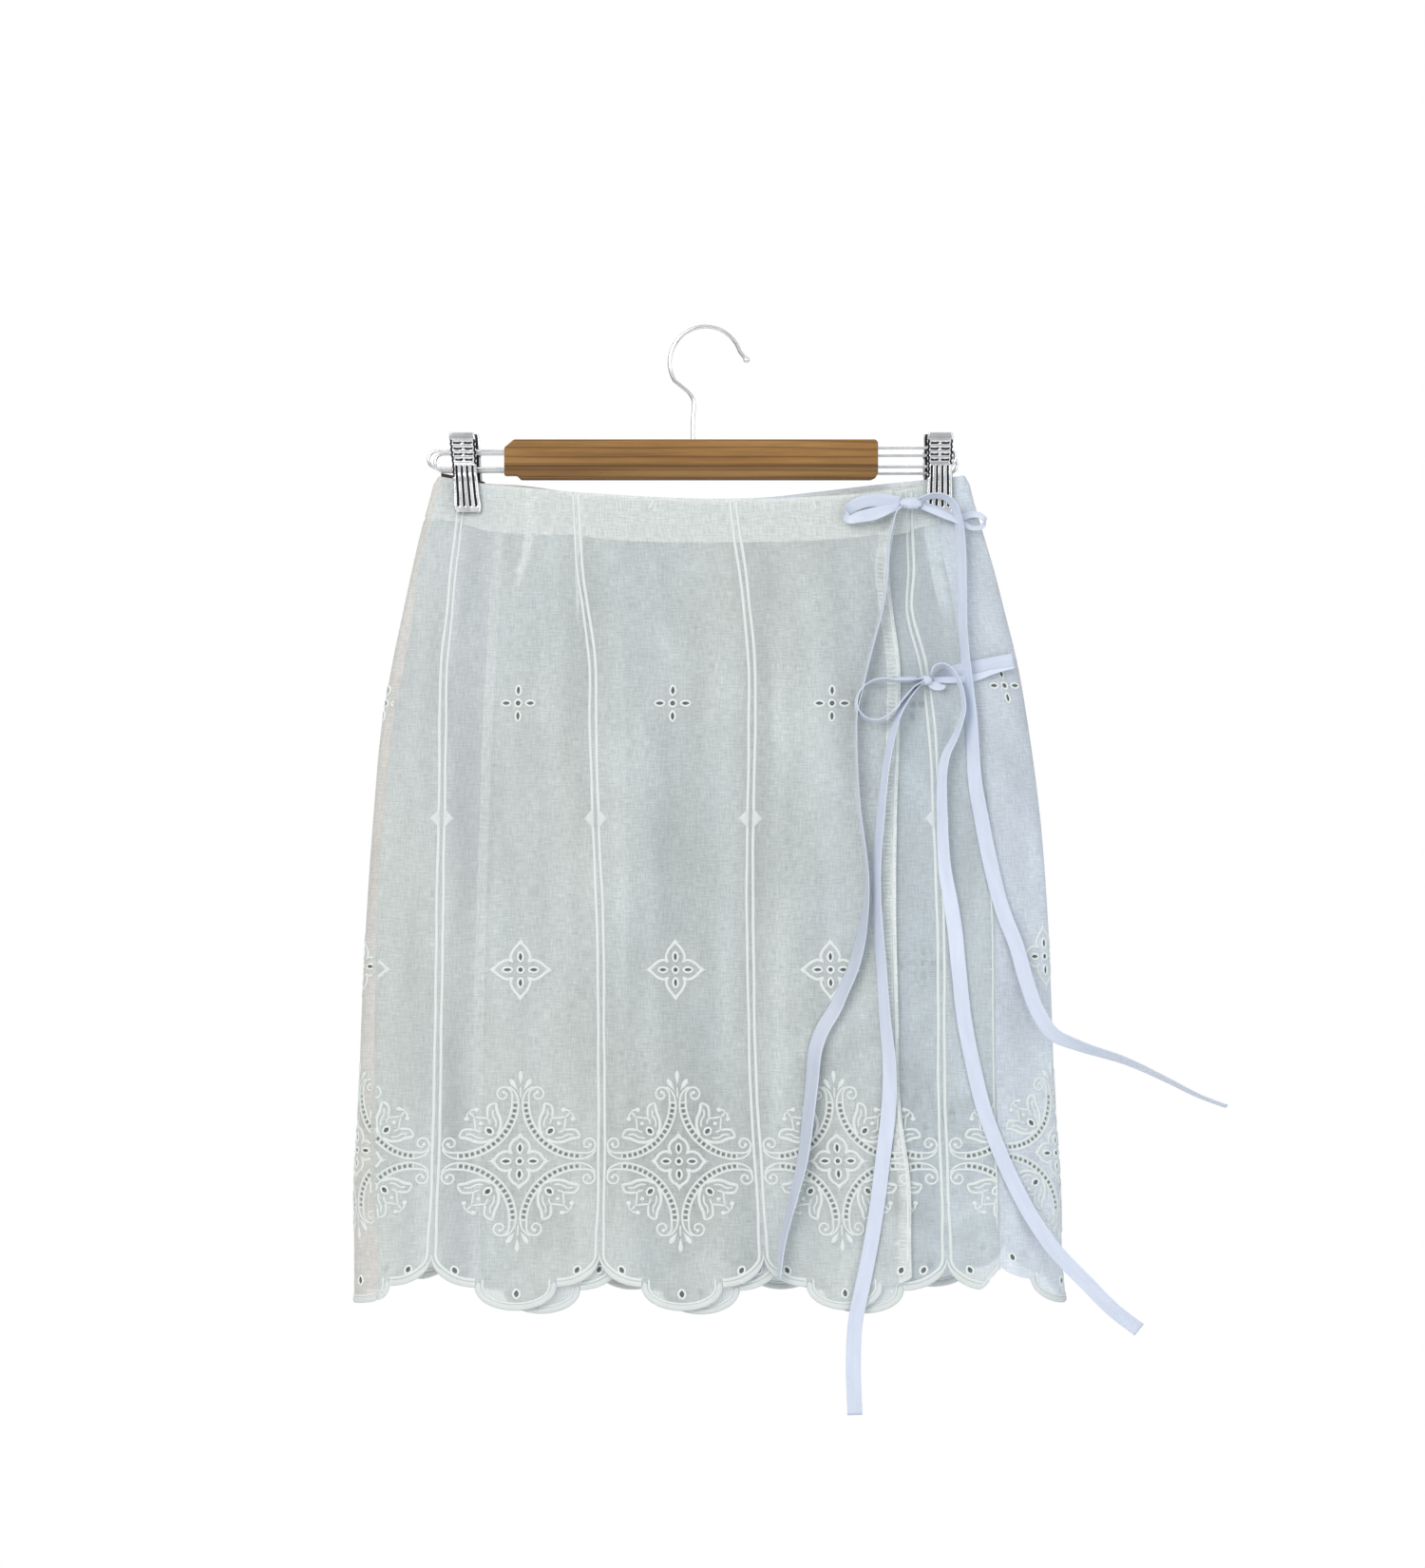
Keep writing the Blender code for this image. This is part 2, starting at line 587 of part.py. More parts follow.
WAIST_TAIL_LEFT = (
    (132.4, -123.8, 5.0, 70, 7), (128.0, -130.5, 5.6, 80, 10), (123.0, -150.0, 6.2, 84, 10),
    (122.0, -170.0, 6.2, 84, 10), (118.0, -196.0, 6.2, 84, 10), (112.0, -217.0, 6.2, 86, 10),
    (103.5, -235.0, 6.4, 88, 10), (98.2, -251.0, 6.4, 88, 10), (97.5, -266.0, 6.2, 88, 10),
    (98.8, -281.0, 6.2, 84, 10), (101.0, -296.5, 6.2, 82, 10), (103.0, -317.0, 6.0, 80, 10),
    (105.5, -345.0, 5.6, 75, 10), (107.0, -374.0, 4.8, 60, 10), (105.5, -393.0, 4.0, 45, 10),
    (103.0, -420.0, 3.2, 30, 10), (93.5, -447.0, 2.4, 14, 10), (79.5, -474.0, 1.8, 6, 10),
    (74.0, -500.5, 1.6, 4, 10), (67.5, -537.0, 1.6, 4, 10), (61.5, -572.5, 1.8, 6, 10),
    (55.0, -608.5, 2.4, 6, 10), (49.5, -635.5, 2.8, 6, 10),
)
HIP_TAIL_RIGHT = (
    (152.2, -234.2, 8.0, 88, 9), (154.2, -228.8, 8.2, 88, 9), (158.0, -226.6, 8.2, 88, 9),
    (165.0, -230.0, 8.2, 88, 9), (169.5, -240.0, 8.0, 88, 9), (170.6, -252.0, 7.8, 88, 9),
    (169.4, -265.0, 7.2, 84, 9.5), (165.0, -278.0, 6.0, 70, 10), (160.4, -290.0, 4.6, 50, 10),
    (158.4, -303.0, 3.2, 28, 10), (158.5, -317.0, 2.2, 10, 10), (159.5, -339.5, 1.5, 0, 10),
    (162.0, -362.5, 1.4, 0, 10), (165.5, -393.0, 1.4, 0, 10), (169.0, -429.0, 1.4, 0, 10),
    (173.5, -465.0, 1.4, 0, 10), (179.0, -493.5, 1.4, 0, 10), (186.0, -522.5, 1.5, 0, 10),
    (195.0, -547.5, 1.7, 0, 10), (206.0, -572.5, 2.0, 0, 10), (218.5, -596.0, 2.4, 0, 10),
    (233.0, -617.0, 2.8, 4, 10), (255.0, -640.0, 3.2, 8, 10), (273.0, -658.0, 3.4, 10, 10),
    (290.0, -671.0, 3.6, 12, 10),
)
HIP_TAIL_LEFT = (
    (142.4, -243.2, 4.8, 75, 7), (138.6, -247.0, 5.0, 84, 9), (134.6, -252.6, 5.4, 84, 9),
    (131.6, -259.5, 5.4, 74, 9), (127.6, -276.5, 4.6, 50, 10), (122.0, -299.5, 3.0, 22, 10),
    (118.5, -322.5, 2.0, 6, 10), (116.4, -351.0, 1.5, 0, 10), (116.4, -374.0, 1.4, 0, 10),
    (117.0, -393.0, 1.4, 0, 10), (118.6, -429.0, 1.4, 0, 10), (121.5, -465.0, 1.4, 0, 10),
    (123.5, -491.5, 1.4, 0, 10), (123.0, -518.5, 1.4, 0, 10), (119.0, -555.0, 1.4, 0, 10),
    (114.5, -590.5, 1.4, 0, 10), (110.0, -617.5, 1.6, 0, 10), (104.5, -644.5, 2.0, 0, 10),
    (100.5, -664.0, 2.6, 0, 10), (99.0, -691.0, 3.0, 0, 10), (100.0, -727.0, 3.4, 0, 10),
)
WAIST_LOOP_LEFT = (
    (130.2, -117.0, 3.6, 0, 7), (118.0, -115.6, 1.8, 0, 9), (104.0, -117.5, 1.4, 0, 9),
    (96.0, -122.0, 2.2, 0, 8), (93.4, -125.6, 4.4, 0, 7), (95.8, -127.6, 7.2, 0, 6),
    (104.0, -127.2, 8.4, 0, 6), (116.0, -124.0, 7.6, 0, 6), (130.2, -120.4, 6.2, 0, 4),
)
WAIST_LOOP_RIGHT = (
    (145.0, -119.6, 5.4, 0, 6), (156.0, -123.5, 5.6, 0, 8), (166.0, -127.0, 5.2, 0, 8),
    (176.0, -127.5, 3.4, 0, 8), (185.0, -127.5, 3.0, 0, 7), (189.0, -129.5, 4.8, 0, 6),
    (186.0, -132.5, 7.0, 0, 5), (177.0, -132.0, 7.6, 0, 5), (164.0, -128.5, 8.0, 0, 5),
    (145.0, -121.0, 7.6, 0, 4),
)
HIP_LOOP_LEFT = (
    (140.6, -238.0, 6.6, 0, 8), (130.0, -237.6, 6.8, 0, 9), (119.0, -238.0, 6.8, 0, 9),
    (109.0, -241.0, 6.8, 0, 9), (103.0, -246.5, 6.8, 0, 9), (101.2, -253.0, 6.8, 0, 9),
    (104.0, -260.5, 6.8, 0, 9), (113.5, -265.0, 6.8, 0, 9), (123.0, -260.5, 6.8, 0, 9),
    (131.0, -250.5, 6.8, 0, 9), (136.2, -244.0, 6.6, 0, 9), (140.6, -240.6, 6.6, 0, 8),
)
HIP_TIE_RIGHT = (
    (207.0, -225.0, 1.2, 0, 9), (194.0, -226.0, 1.1, 0, 9), (178.0, -230.5, 1.1, 0, 8.5),
    (165.0, -234.5, 1.1, 0, 7), (157.0, -236.8, 1.4, 0, 5.5), (151.9, -238.0, 2.0, 0, 4.5),
)
HIP_TIE_LEFT = (
    (128.0, -236.5, 0.9, 0, 4.5), (134.0, -236.6, 1.0, 0, 4.5), (140.6, -236.8, 1.2, 0, 4.5),
)
VERTICAL = (0.15, 0.0, 1.0)
FORWARD = (0.0, -1.0, 0.0)


def knot(name, mat, x, z, out, size):
    """A pulled-tight knot: a small rounded block."""
    y = -(float(cloth_front(np.array([x]), np.array([z]))[0]) + out)
    work = bmesh.new()
    bmesh.ops.create_cube(work, size=1.0)
    bmesh.ops.scale(work, vec=[s * MM for s in size], verts=work.verts)
    bmesh.ops.bevel(work, geom=work.edges[:], offset=min(size) * 0.28 * MM, segments=2, affect="EDGES")
    mesh = bpy.data.meshes.new(name)
    work.to_mesh(mesh)
    work.free()
    obj = bpy.data.objects.new(name, mesh)
    obj.location = (x * MM, y * MM, z * MM)
    obj.data.materials.append(mat)
    bpy.context.collection.objects.link(obj)


def make_ribbons(satin):
    knot("waist_bow_knot", satin, 137.6, -119.0, 5.0, (14.0, 7.4, 9.0))
    ribbon("waist_loop_left", satin, WAIST_LOOP_LEFT, 4.5, VERTICAL)
    ribbon("waist_loop_right", satin, WAIST_LOOP_RIGHT, 4.5, VERTICAL)
    ribbon("waist_tail_right", satin, WAIST_TAIL_RIGHT, 11.0)
    ribbon("waist_tail_left", satin, WAIST_TAIL_LEFT, 11.0)
    knot("hip_bow_knot", satin, 146.2, -237.6, 5.2, (10.4, 8.6, 9.6))
    ribbon("hip_loop_left", satin, HIP_LOOP_LEFT, 4.5, FORWARD)
    ribbon("hip_tail_right", satin, HIP_TAIL_RIGHT, 9.0)
    ribbon("hip_tail_left", satin, HIP_TAIL_LEFT, 11.0)
    ribbon("hip_tie_right", satin, HIP_TIE_RIGHT, 8.0)
    ribbon("hip_tie_left", satin, HIP_TIE_LEFT, 5.0)


# Hanger
def tube(name, mat, points, radius, sides=2):
    """A wire with filled ends along the points."""
    curve = bpy.data.curves.new(name, "CURVE")
    curve.dimensions = "3D"
    curve.bevel_depth = radius * MM
    curve.bevel_resolution = sides
    curve.use_fill_caps = True
    spline = curve.splines.new("POLY")
    spline.points.add(len(points) - 1)
    for item, point in zip(spline.points, points):
        item.co = (point[0] * MM, point[1] * MM, point[2] * MM, 1.0)
    obj = bpy.data.objects.new(name, curve)
    obj.data.materials.append(mat)
    bpy.context.collection.objects.link(obj)
    return obj


def make_hook(steel):
    centre_z = -(HOOK_RADIUS - HOOK_WIRE)
    points = [(STEM_X, 0, -82.0), (STEM_X, 0, -60.0), (-7.4, 0, -52.0), (-7.9, 0, -47.6), (-10.2, 0, -43.7),
              (-14.6, 0, -39.6)]
    for k in range(19):
        a = math.radians(211 - 193 * k / 18)
        points.append((HOOK_TURN_X + HOOK_RADIUS * math.cos(a), 0, centre_z + HOOK_RADIUS * math.sin(a)))
    points += [(26.4, 0, -19.0), (27.6, 0, -20.4)]
    tube("hook", steel, points, HOOK_WIRE)


def cylinder(name, mat, start, end, radius, sides=12):
    """A round bar, or a cutter if it has no material."""
    start, end = np.array(start, float), np.array(end, float)
    along = end - start
    along /= np.linalg.norm(along)
    side = np.cross(along, [0.0, 1.0, 0.0])
    if np.linalg.norm(side) < 0.1:
        side = np.cross(along, [1.0, 0.0, 0.0])
    side /= np.linalg.norm(side)
    other = np.cross(along, side)
    points, faces = [], []
    for end_point in (start, end):
        for k in range(sides):
            a = 2 * math.pi * k / sides
            points.append((end_point + radius * (math.cos(a) * side + math.sin(a) * other)) * MM)
    faces = [(k, (k + 1) % sides, (k + 1) % sides + sides, k + sides) for k in range(sides)]
    faces += [tuple(range(sides))[::-1], tuple(range(sides, 2 * sides))]
    return add(name, mat, points, faces)


def shape(obj, tool, operation="DIFFERENCE"):
    """Cuts the tool out of the object, or joins it on."""
    tool.hide_render = True
    tool.display_type = "WIRE"
    modifier = obj.modifiers.new(tool.name, "BOOLEAN")
    modifier.operation = operation
    modifier.object = tool


# Rail wires: name, side, plane, heights of the upper and the lower leg, how far out it reaches
RAILS = (
    ("rail_left_front", -1, -RAIL_PLANE, -82.6, -94.4, -186.0),
    ("rail_left_rear", -1, RAIL_PLANE, -84.4, -96.2, -182.0),
    ("rail_right_front", 1, -RAIL_PLANE, -80.6, -93.2, 168.6),
    ("rail_right_rear", 1, RAIL_PLANE, -85.4, -97.4, 170.0),
)


def make_rails(steel):
    for name, side, plane, upper, lower, reach in RAILS:
        inner = (BAR_LEFT if side < 0 else BAR_RIGHT) - side * (RAIL_INSET - 0.5)
        half = (upper - lower) / 2
        points = [(inner, plane, upper)]
        for k in range(9):
            a = math.radians(90 - 22.5 * k)
            points.append((reach - side * half + side * half * math.cos(a), plane,
                           (upper + lower) / 2 + half * math.sin(a)))
        points.append((inner, plane, lower))
        tube(name, steel, points, RAIL_WIRE)


def make_bar(wood):
    corner = 5.5
    # The bar's outline from the front, its lower left end cut back in a step
    side_view = [
        (BAR_LEFT, BAR_TOP - corner), (BAR_LEFT + corner + 1, BAR_TOP), (BAR_RIGHT - 1.6, BAR_TOP),
        (BAR_RIGHT, BAR_TOP - 1.8), (BAR_RIGHT, BAR_BOTTOM + 4.6), (BAR_RIGHT - 1.5, BAR_BOTTOM + 1.4),
        (BAR_RIGHT - 4.8, BAR_BOTTOM), (BAR_LEFT + 11, BAR_BOTTOM), (BAR_LEFT + 8.4, BAR_BOTTOM + 2.8),
        (BAR_LEFT, BAR_BOTTOM + 2.8),
    ]
    half = BAR_DEPTH / 2
    points = [(x * MM, y * MM, z * MM) for y in (-half, half) for x, z in side_view]
    count = len(side_view)
    faces = [tuple(range(count)), tuple(range(count, 2 * count))[::-1]]
    faces += [(k, (k + 1) % count, (k + 1) % count + count, k + count) for k in range(count)]
    bar = add("hanger_bar", wood, points, faces)
    rounding = bar.modifiers.new("rounding", "BEVEL")
    rounding.width = 0.9 * MM
    rounding.segments = 2
    for face in (-1, 1):
        groove = [(BAR_LEFT - 3, face * (half + 1.0), -93.4), (BAR_RIGHT + 3, face * (half + 1.0), -93.4)]
        shape(bar, cylinder(f"groove_{face}", None, groove[0], groove[1], 1.6, 8))
    shape(bar, cylinder("stem_hole", None, (STEM_X, 0, -83.0), (STEM_X, 0, BAR_TOP + 3), HOOK_WIRE + 0.3, 12))
    for name, side, plane, upper, lower, _ in RAILS:
        end = BAR_LEFT if side < 0 else BAR_RIGHT
        for z in (upper, lower):
            hole = [(end + side * 3, plane, z), (end - side * RAIL_INSET, plane, z)]
            shape(bar, cylinder(f"{name}_hole_{z}", None, hole[0], hole[1], RAIL_WIRE + 0.3, 10))


# A clip leaf from the lever to the jaw: height, distance from the middle plane, half width. The jaw's own
# distance is that of the pads.
LEAF = (
    (-70.6, 8.6, 8.0), (-73.0, 8.4, 8.6), (-78.0, 7.6, 8.6), (-84.0, 6.6, 8.6), (-92.0, 6.0, 8.2),
    (-98.0, None, 8.2), (-104.0, None, 8.4), (-112.0, None, 8.6), (-121.0, None, 8.7), (-124.2, None, 8.0),
)
LEAF_WALL, RIB, PAD_WALL, PAD_GAP = 0.9, 0.6, 1.2, 0.3
PIVOT_WIRE = 1.1
CHEEK_HALF_HEIGHT, CHEEK_WALL = 2.2, 0.8
RIB_EDGES = (-1.0, -0.80, -0.62, -0.52, -0.30, -0.20, 0.02, 0.12, 0.34, 0.44, 0.66, 0.82, 1.0)
RIB_RAISED = (0, 0, 1, 1, 0, 0, 1, 1, 0, 0, 1, 1, 0)
# name, middle of the top, lean to its foot, faces of the cloth in front and behind, ends of the rear pad
CLIPS = (
    ("left", -163.4, 4.2, 7.9, 4.5, -178.0, -148.5),
    ("right", 158.2, -0.6, 4.6, 5.0, 148.6, 167.0),
)
CLIP_TOP, CLIP_FOOT = -71.0, -124.5
REAR_PAD_TOP, FRONT_PAD_TOP, PAD_FOOT = -97.0, -104.0, -122.5
FRONT_PAD_HALF = 7.6
# How far a front and a rear leaf's cheeks lie from the clip's middle, and how far the pivot reaches
CHEEK_REACH = {-1: 6.2, 1: 4.9}
PIVOT_REACH = 7.2
CHEEK_ROOT, CHEEK_NOSE = 6.6, 1.9


def clip_middle(x, lean, z):
    return x + lean * (CLIP_TOP - z) / (CLIP_TOP - CLIP_FOOT)


def clip_leaf(name, mat, x, lean, jaw, sign):
    """A stamped leaf with raised ribs down its jaw, and two cheeks that reach the pivot."""
    outer, inner = [], []
    for z, away, half in LEAF:
        away = jaw if away is None else away
        ribbed = smooth((-92.0 - z) / 4.0) * smooth((z - CLIP_FOOT) / 2.0)
        middle = clip_middle(x, lean, z)
        row_out, row_in = [], []
        for share, rib in zip(RIB_EDGES, RIB_RAISED):
            px = middle + share * half
            row_out.append(np.array([px, sign * (away + LEAF_WALL + RIB * rib * ribbed), z]))
            row_in.append(np.array([px, sign * away, z]))
        outer.append(row_out)
        inner.append(row_in)
    leaf = grid_shell(name, mat, outer, inner)
    middle = clip_middle(x, lean, PIVOT_Z)
    for end in (-1, 1):
        low = middle + end * CHEEK_REACH[sign] - CHEEK_WALL / 2
        y = sorted((sign * CHEEK_ROOT, -sign * CHEEK_NOSE))
        cheek = block(f"{name}_cheek_{end}", None, (low, y[0], PIVOT_Z - CHEEK_HALF_HEIGHT),
                      (low + CHEEK_WALL, y[1], PIVOT_Z + CHEEK_HALF_HEIGHT))
        shape(leaf, cheek, "UNION")
    ends = [(middle + side * (PIVOT_REACH + 2), 0, PIVOT_Z) for side in (-1, 1)]
    shape(leaf, cylinder(f"{name}_hole", None, *ends, PIVOT_WIRE + 0.3, 10))


def block(name, mat, low, high):
    corners = [(x, y, z) for x in (low[0], high[0]) for y in (low[1], high[1]) for z in (low[2], high[2])]
    faces = [(0, 1, 3, 2), (4, 6, 7, 5), (0, 4, 5, 1), (2, 3, 7, 6), (0, 2, 6, 4), (1, 5, 7, 3)]
    return add(name, mat, [tuple(c * MM for c in corner) for corner in corners], faces)


def make_clips(steel, pad):
    for side, x, lean, front, rear, pad_start, pad_end in CLIPS:
        clip_leaf(f"clip_{side}_front", steel, x, lean, front + PAD_WALL + 2 * PAD_GAP, -1)
        clip_leaf(f"clip_{side}_rear", steel, x, lean, rear + PAD_WALL + 2 * PAD_GAP, 1)
        middle = clip_middle(x, lean, PIVOT_Z)
        ends = [(middle + side_of * PIVOT_REACH, 0, PIVOT_Z) for side_of in (-1, 1)]
        cylinder(f"clip_{side}_pivot", steel, *ends, PIVOT_WIRE, 10)
        foot = clip_middle(x, lean, (FRONT_PAD_TOP + PAD_FOOT) / 2)
        block(f"clip_{side}_front_pad", pad, (foot - FRONT_PAD_HALF, -(front + PAD_GAP + PAD_WALL), PAD_FOOT),
              (foot + FRONT_PAD_HALF, -(front + PAD_GAP), FRONT_PAD_TOP))
        block(f"clip_{side}_rear_pad", pad, (pad_start, rear + PAD_GAP, PAD_FOOT),
              (pad_end, rear + PAD_GAP + PAD_WALL, REAR_PAD_TOP))


def make_hanger(wood, steel, pad):
    make_hook(steel)
    make_bar(wood)
    make_rails(steel)
    make_clips(steel, pad)


def main():
    for obj in list(bpy.data.objects):
        bpy.data.objects.remove(obj, do_unlink=True)
    cotton = material("cotton", (0.80, 0.83, 0.82), 0.85)
    satin = material("satin_ribbon", (0.78, 0.81, 0.90), 0.45)
    wood = material("varnished_wood", (0.42, 0.24, 0.10), 0.45)
    steel = material("polished_steel", (0.75, 0.75, 0.76), 0.22, 1.0)
    pad = material("dark_felt", (0.06, 0.04, 0.035), 0.9)
    make_cloth(cotton)
    make_ribbons(satin)
    make_hanger(wood, steel, pad)


main()
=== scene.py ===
import functools
import math

import bmesh
import bpy
import numpy as np
from mathutils import Matrix, Vector, geometry


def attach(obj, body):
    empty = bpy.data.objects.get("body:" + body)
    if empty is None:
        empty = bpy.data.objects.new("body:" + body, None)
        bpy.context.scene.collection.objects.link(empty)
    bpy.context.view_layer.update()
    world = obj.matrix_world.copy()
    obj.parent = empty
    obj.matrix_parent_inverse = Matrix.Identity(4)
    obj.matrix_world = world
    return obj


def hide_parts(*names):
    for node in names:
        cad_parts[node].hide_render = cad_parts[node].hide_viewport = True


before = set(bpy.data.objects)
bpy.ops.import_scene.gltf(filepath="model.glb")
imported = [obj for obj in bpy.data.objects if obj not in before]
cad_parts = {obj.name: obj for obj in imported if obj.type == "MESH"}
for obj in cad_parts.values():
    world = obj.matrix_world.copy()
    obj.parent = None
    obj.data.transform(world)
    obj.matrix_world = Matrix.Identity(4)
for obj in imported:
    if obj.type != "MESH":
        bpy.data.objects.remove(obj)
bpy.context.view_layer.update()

MM = 0.001

# Camera: the photograph's frame at its scale, seen square on through a long lens
FRAME_WIDE, FRAME_HIGH = 1500, 1650
MM_PER_PIXEL = 0.64
ORIGIN_PIXEL = (742.0, 345.7)
CAMERA_AWAY = 3.2
SENSOR = 24.0
FLOOR_Z, FLOOR_HALF = -1.35, 1.8

# The skirt's own map, as in the frame: every size below is in mm
PITCH = 107.0
WALL = 1.1
LAYER = 1.7
FACING = 29.0
EDGE_HEM = 9.0
INSIDE, PANEL, LAP = 0.0, LAYER, 2 * LAYER
SHEET_IN_WALL = 0.6  # where in the wall of the frame's panel the thin sheet lies

LINES = (
    "z", "left", "left_seam", "stripe_a", "stripe_b", "stripe_c", "over_edge", "under_edge",
    "under_1", "under_2", "stripe_d", "right_seam", "right", "depth",
)
SKIRT = (
    (-96, -178, -174.5, -163, -89, 17.5, 134.5, -134.5, -46, 60, 136.5, 151, 174, 7),
    (-115, -183, -180, -164, -87, 18.5, 132, -135.5, -46, 60, 136.5, 153, 178.5, 7.5),
    (-141, -190, -186.5, -166.5, -85.5, 21.5, 125.5, -142.5, -50, 56, 137, 157.5, 186, 8.5),
    (-163, -195, -192, -168.5, -84, 25, 123, -143.5, -52, 54, 138, 162, 192.5, 9.5),
    (-188.5, -200.5, -195, -170, -80, 28, 125.5, -144.5, -57.5, 47.5, 137, 167, 199, 10.5),
    (-227, -208.5, -201.5, -174, -75, 31.5, 130.5, -146.5, -58, 47.5, 146.5, 173, 208.5, 12),
    (-265, -215, -208.5, -175, -75, 31.5, 130.5, -148.5, -57, 49.5, 151.5, 180.5, 215, 14),
    (-329, -221, -214.5, -175.5, -73, 30.5, 128.5, -150.5, -56.5, 50, 155, 190, 223.5, 17),
    (-393, -225.5, -219, -176.5, -70, 30, 128, -152.5, -56, 50.5, 157.5, 194, 228.5, 20),
    (-463.5, -229, -220.5, -177.5, -69, 31, 129.5, -154, -55.5, 50.5, 158, 194.5, 231.5, 22.5),
    (-521, -231, -221, -178, -68.5, 33, 131, -155, -55.5, 50.5, 158.5, 195, 233.5, 24.5),
    (-572.5, -234, -221.5, -179.5, -69, 36, 137.5, -155.5, -55.5, 50.5, 160, 196.5, 237, 26.5),
    (-623.5, -234, -218, -181.5, -70, 39, 138, -156, -55.5, 50.5, 161.5, 197, 238.5, 28),
    (-662, -234, -217, -182.5, -70, 41, 139.5, -156, -55.5, 50.5, 162, 198, 241.5, 29),
)
FRONT_TOP = (
    (-178, -100), (-161.5, -102.8), (-149, -105), (-116.5, -108.5), (-87, -111), (-39.5, -114),
    (0, -115.5), (37, -115.5), (75.5, -114), (118, -110.5), (148, -104.5), (167, -100.2), (174, -99),
)
BACK_TOP = (
    (-178, -100), (-149, -104), (-126, -105), (-91, -109.5), (-39.5, -113), (0, -114),
    (37, -113.5), (75.5, -109.5), (118, -104.5), (147, -101.8), (174, -99.5),
)
BACK_REPEATS = 5
LEFT_SHARE = ((-96, 0.05), (-300, 0.10), (-560, 0.14), (-662, 0.14))
RIGHT_SHARE = ((-96, 0.20), (-240, 0.27), (-420, 0.36), (-560, 0.43), (-662, 0.45))
FRONT_FOLDS = ((-150, 34, 3.2, -200), (-78, 34, -2.6, -230), (-8, 36, 3.0, -280), (84, 36, -2.8, -220),
               (172, 34, 3.4, -200))
BACK_FOLDS = ((-158, 36, -2.6, -240), (-88, 36, 3.4, -200), (-10, 36, -3.0, -180), (70, 36, 3.4, -220),
              (150, 36, -2.8, -240))
HEM_NOTCH, HEM_SHOULDER, HEM_TIP = -621.0, -641.5, -657.5
LOBE = 25.6
UNDER_DROP, BACK_DROP = 2.5, 4.0
SKIRT_TOP, SKIRT_FOOT = -94.0, -664.0
WAIST_LEVEL, SIDE_FOOT, HEM_LEVEL = -102.0, -612.0, -640.0  # the side edges end at SIDE_FOOT in the scallops

# Cutwork: heights of the motifs, and their eyelets from the middle of the repeat
SPRIG_Z, DIAMOND_Z, QUATREFOIL_Z, MEDALLION_Z = -253.0, -330.0, -431.0, -558.5
# A round eyelet with four long ones about it: height, its radius, how far out, half length, half width
CROSSES = (
    (SPRIG_Z, 1.9, 8.6, 2.9, 1.35),
    (QUATREFOIL_Z, 1.7, 8.7, 2.8, 1.3),
    (MEDALLION_Z, 1.7, 8.7, 2.8, 1.3),
)


def cross(z, radius, out, long, wide):
    beside = [(x, z, long, wide, 0) for x in (out, -out)]
    return [(0, z, radius, radius, 0)] + beside + [(0, z + up, long, wide, 90) for up in (out, -out)]


# Every eyelet of a repeat: across, height, half length, half width, turn
EYELETS = [eyelet for row in CROSSES for eyelet in cross(*row)] + [
    (19.6, MEDALLION_Z + 20.0, 2.4, 1.7, 45),
    (-19.6, MEDALLION_Z + 20.0, 2.4, 1.7, 135),
    (19.6, MEDALLION_Z - 20.0, 2.4, 1.7, -45),
    (-19.6, MEDALLION_Z - 20.0, 2.4, 1.7, -135),
    (0, -646.5, 2.6, 1.7, 90),
    (38.5, -631.0, 2.5, 1.7, 60),
    (-38.5, -631.0, 2.5, 1.7, 120),
]
RIM, RIM_INSIDE, RIM_TONE = 1.5, 0.3, 1.08  # a bound rim's width, how much of it lies inside the hole
# The four arcs of small holes in a medallion
ARC_CENTRE, ARC_RADIUS = 39.7, 36.4
ARC_START, ARC_END, ARC_HOLES = 184.0, 266.0, 15
ARC_HOLE = 1.1
ARC_SIDE = 2.2

GRID = 4.2  # spacing of the cloth's own mesh
FOLD_SIDES = (-5.0, -3.2, -2.0, -1.1, -0.5, 0.0, 0.5, 1.1, 2.0, 3.2, 5.0)
STITCH = 1.5  # spacing along the stitching


def smooth(t):
    t = np.clip(t, 0.0, 1.0)
    return t * t * (3.0 - 2.0 * t)


def unit(vectors):
    return vectors / np.linalg.norm(vectors, axis=-1, keepdims=True)


def distance_along(points):
    return np.concatenate([[0.0], np.cumsum(np.linalg.norm(np.diff(points, axis=0), axis=1))])


def grid_faces(rows, columns, closed=False):
    """Four-sided faces between rows of corners; closed joins each row's end to its start."""
    i, j = np.meshgrid(np.arange(rows - 1), np.arange(columns if closed else columns - 1), indexing="ij")
    a, b = (i * columns + j).ravel(), (i * columns + (j + 1) % columns).ravel()
    return np.stack([a, b, b + columns, a + columns], -1)


def back_to_front(faces):
    return faces[:, [0, 3, 2, 1]]


@functools.lru_cache(maxsize=None)
def knots(points):
    """Places, values and slopes of a smooth line through the points."""
    points = sorted(points)
    xs = np.array([p[0] for p in points], float)
    ys = np.array([p[1] for p in points], float)
    return xs, ys, np.gradient(ys, xs)


def through(points, at):
    """A smooth line through the points, read at the places given."""
    xs, ys, slopes = knots(tuple(points))
    at = np.clip(np.asarray(at, float), xs[0], xs[-1])
    i = np.clip(np.searchsorted(xs, at) - 1, 0, len(xs) - 2)
    step = xs[i + 1] - xs[i]
    t = (at - xs[i]) / step
    a = (1 + 2 * t) * (1 - t) ** 2 * ys[i] + t * t * (3 - 2 * t) * ys[i + 1]
    return a + (t * (1 - t) ** 2 * slopes[i] - t * t * (1 - t) * slopes[i + 1]) * step


@functools.lru_cache(maxsize=None)
def line_points(name):
    column = LINES.index(name)
    return tuple((row[0], row[column]) for row in SKIRT)


def line(name, z):
    return through(line_points(name), z)


def sides(z):
    return line("left", z), line("right", z)


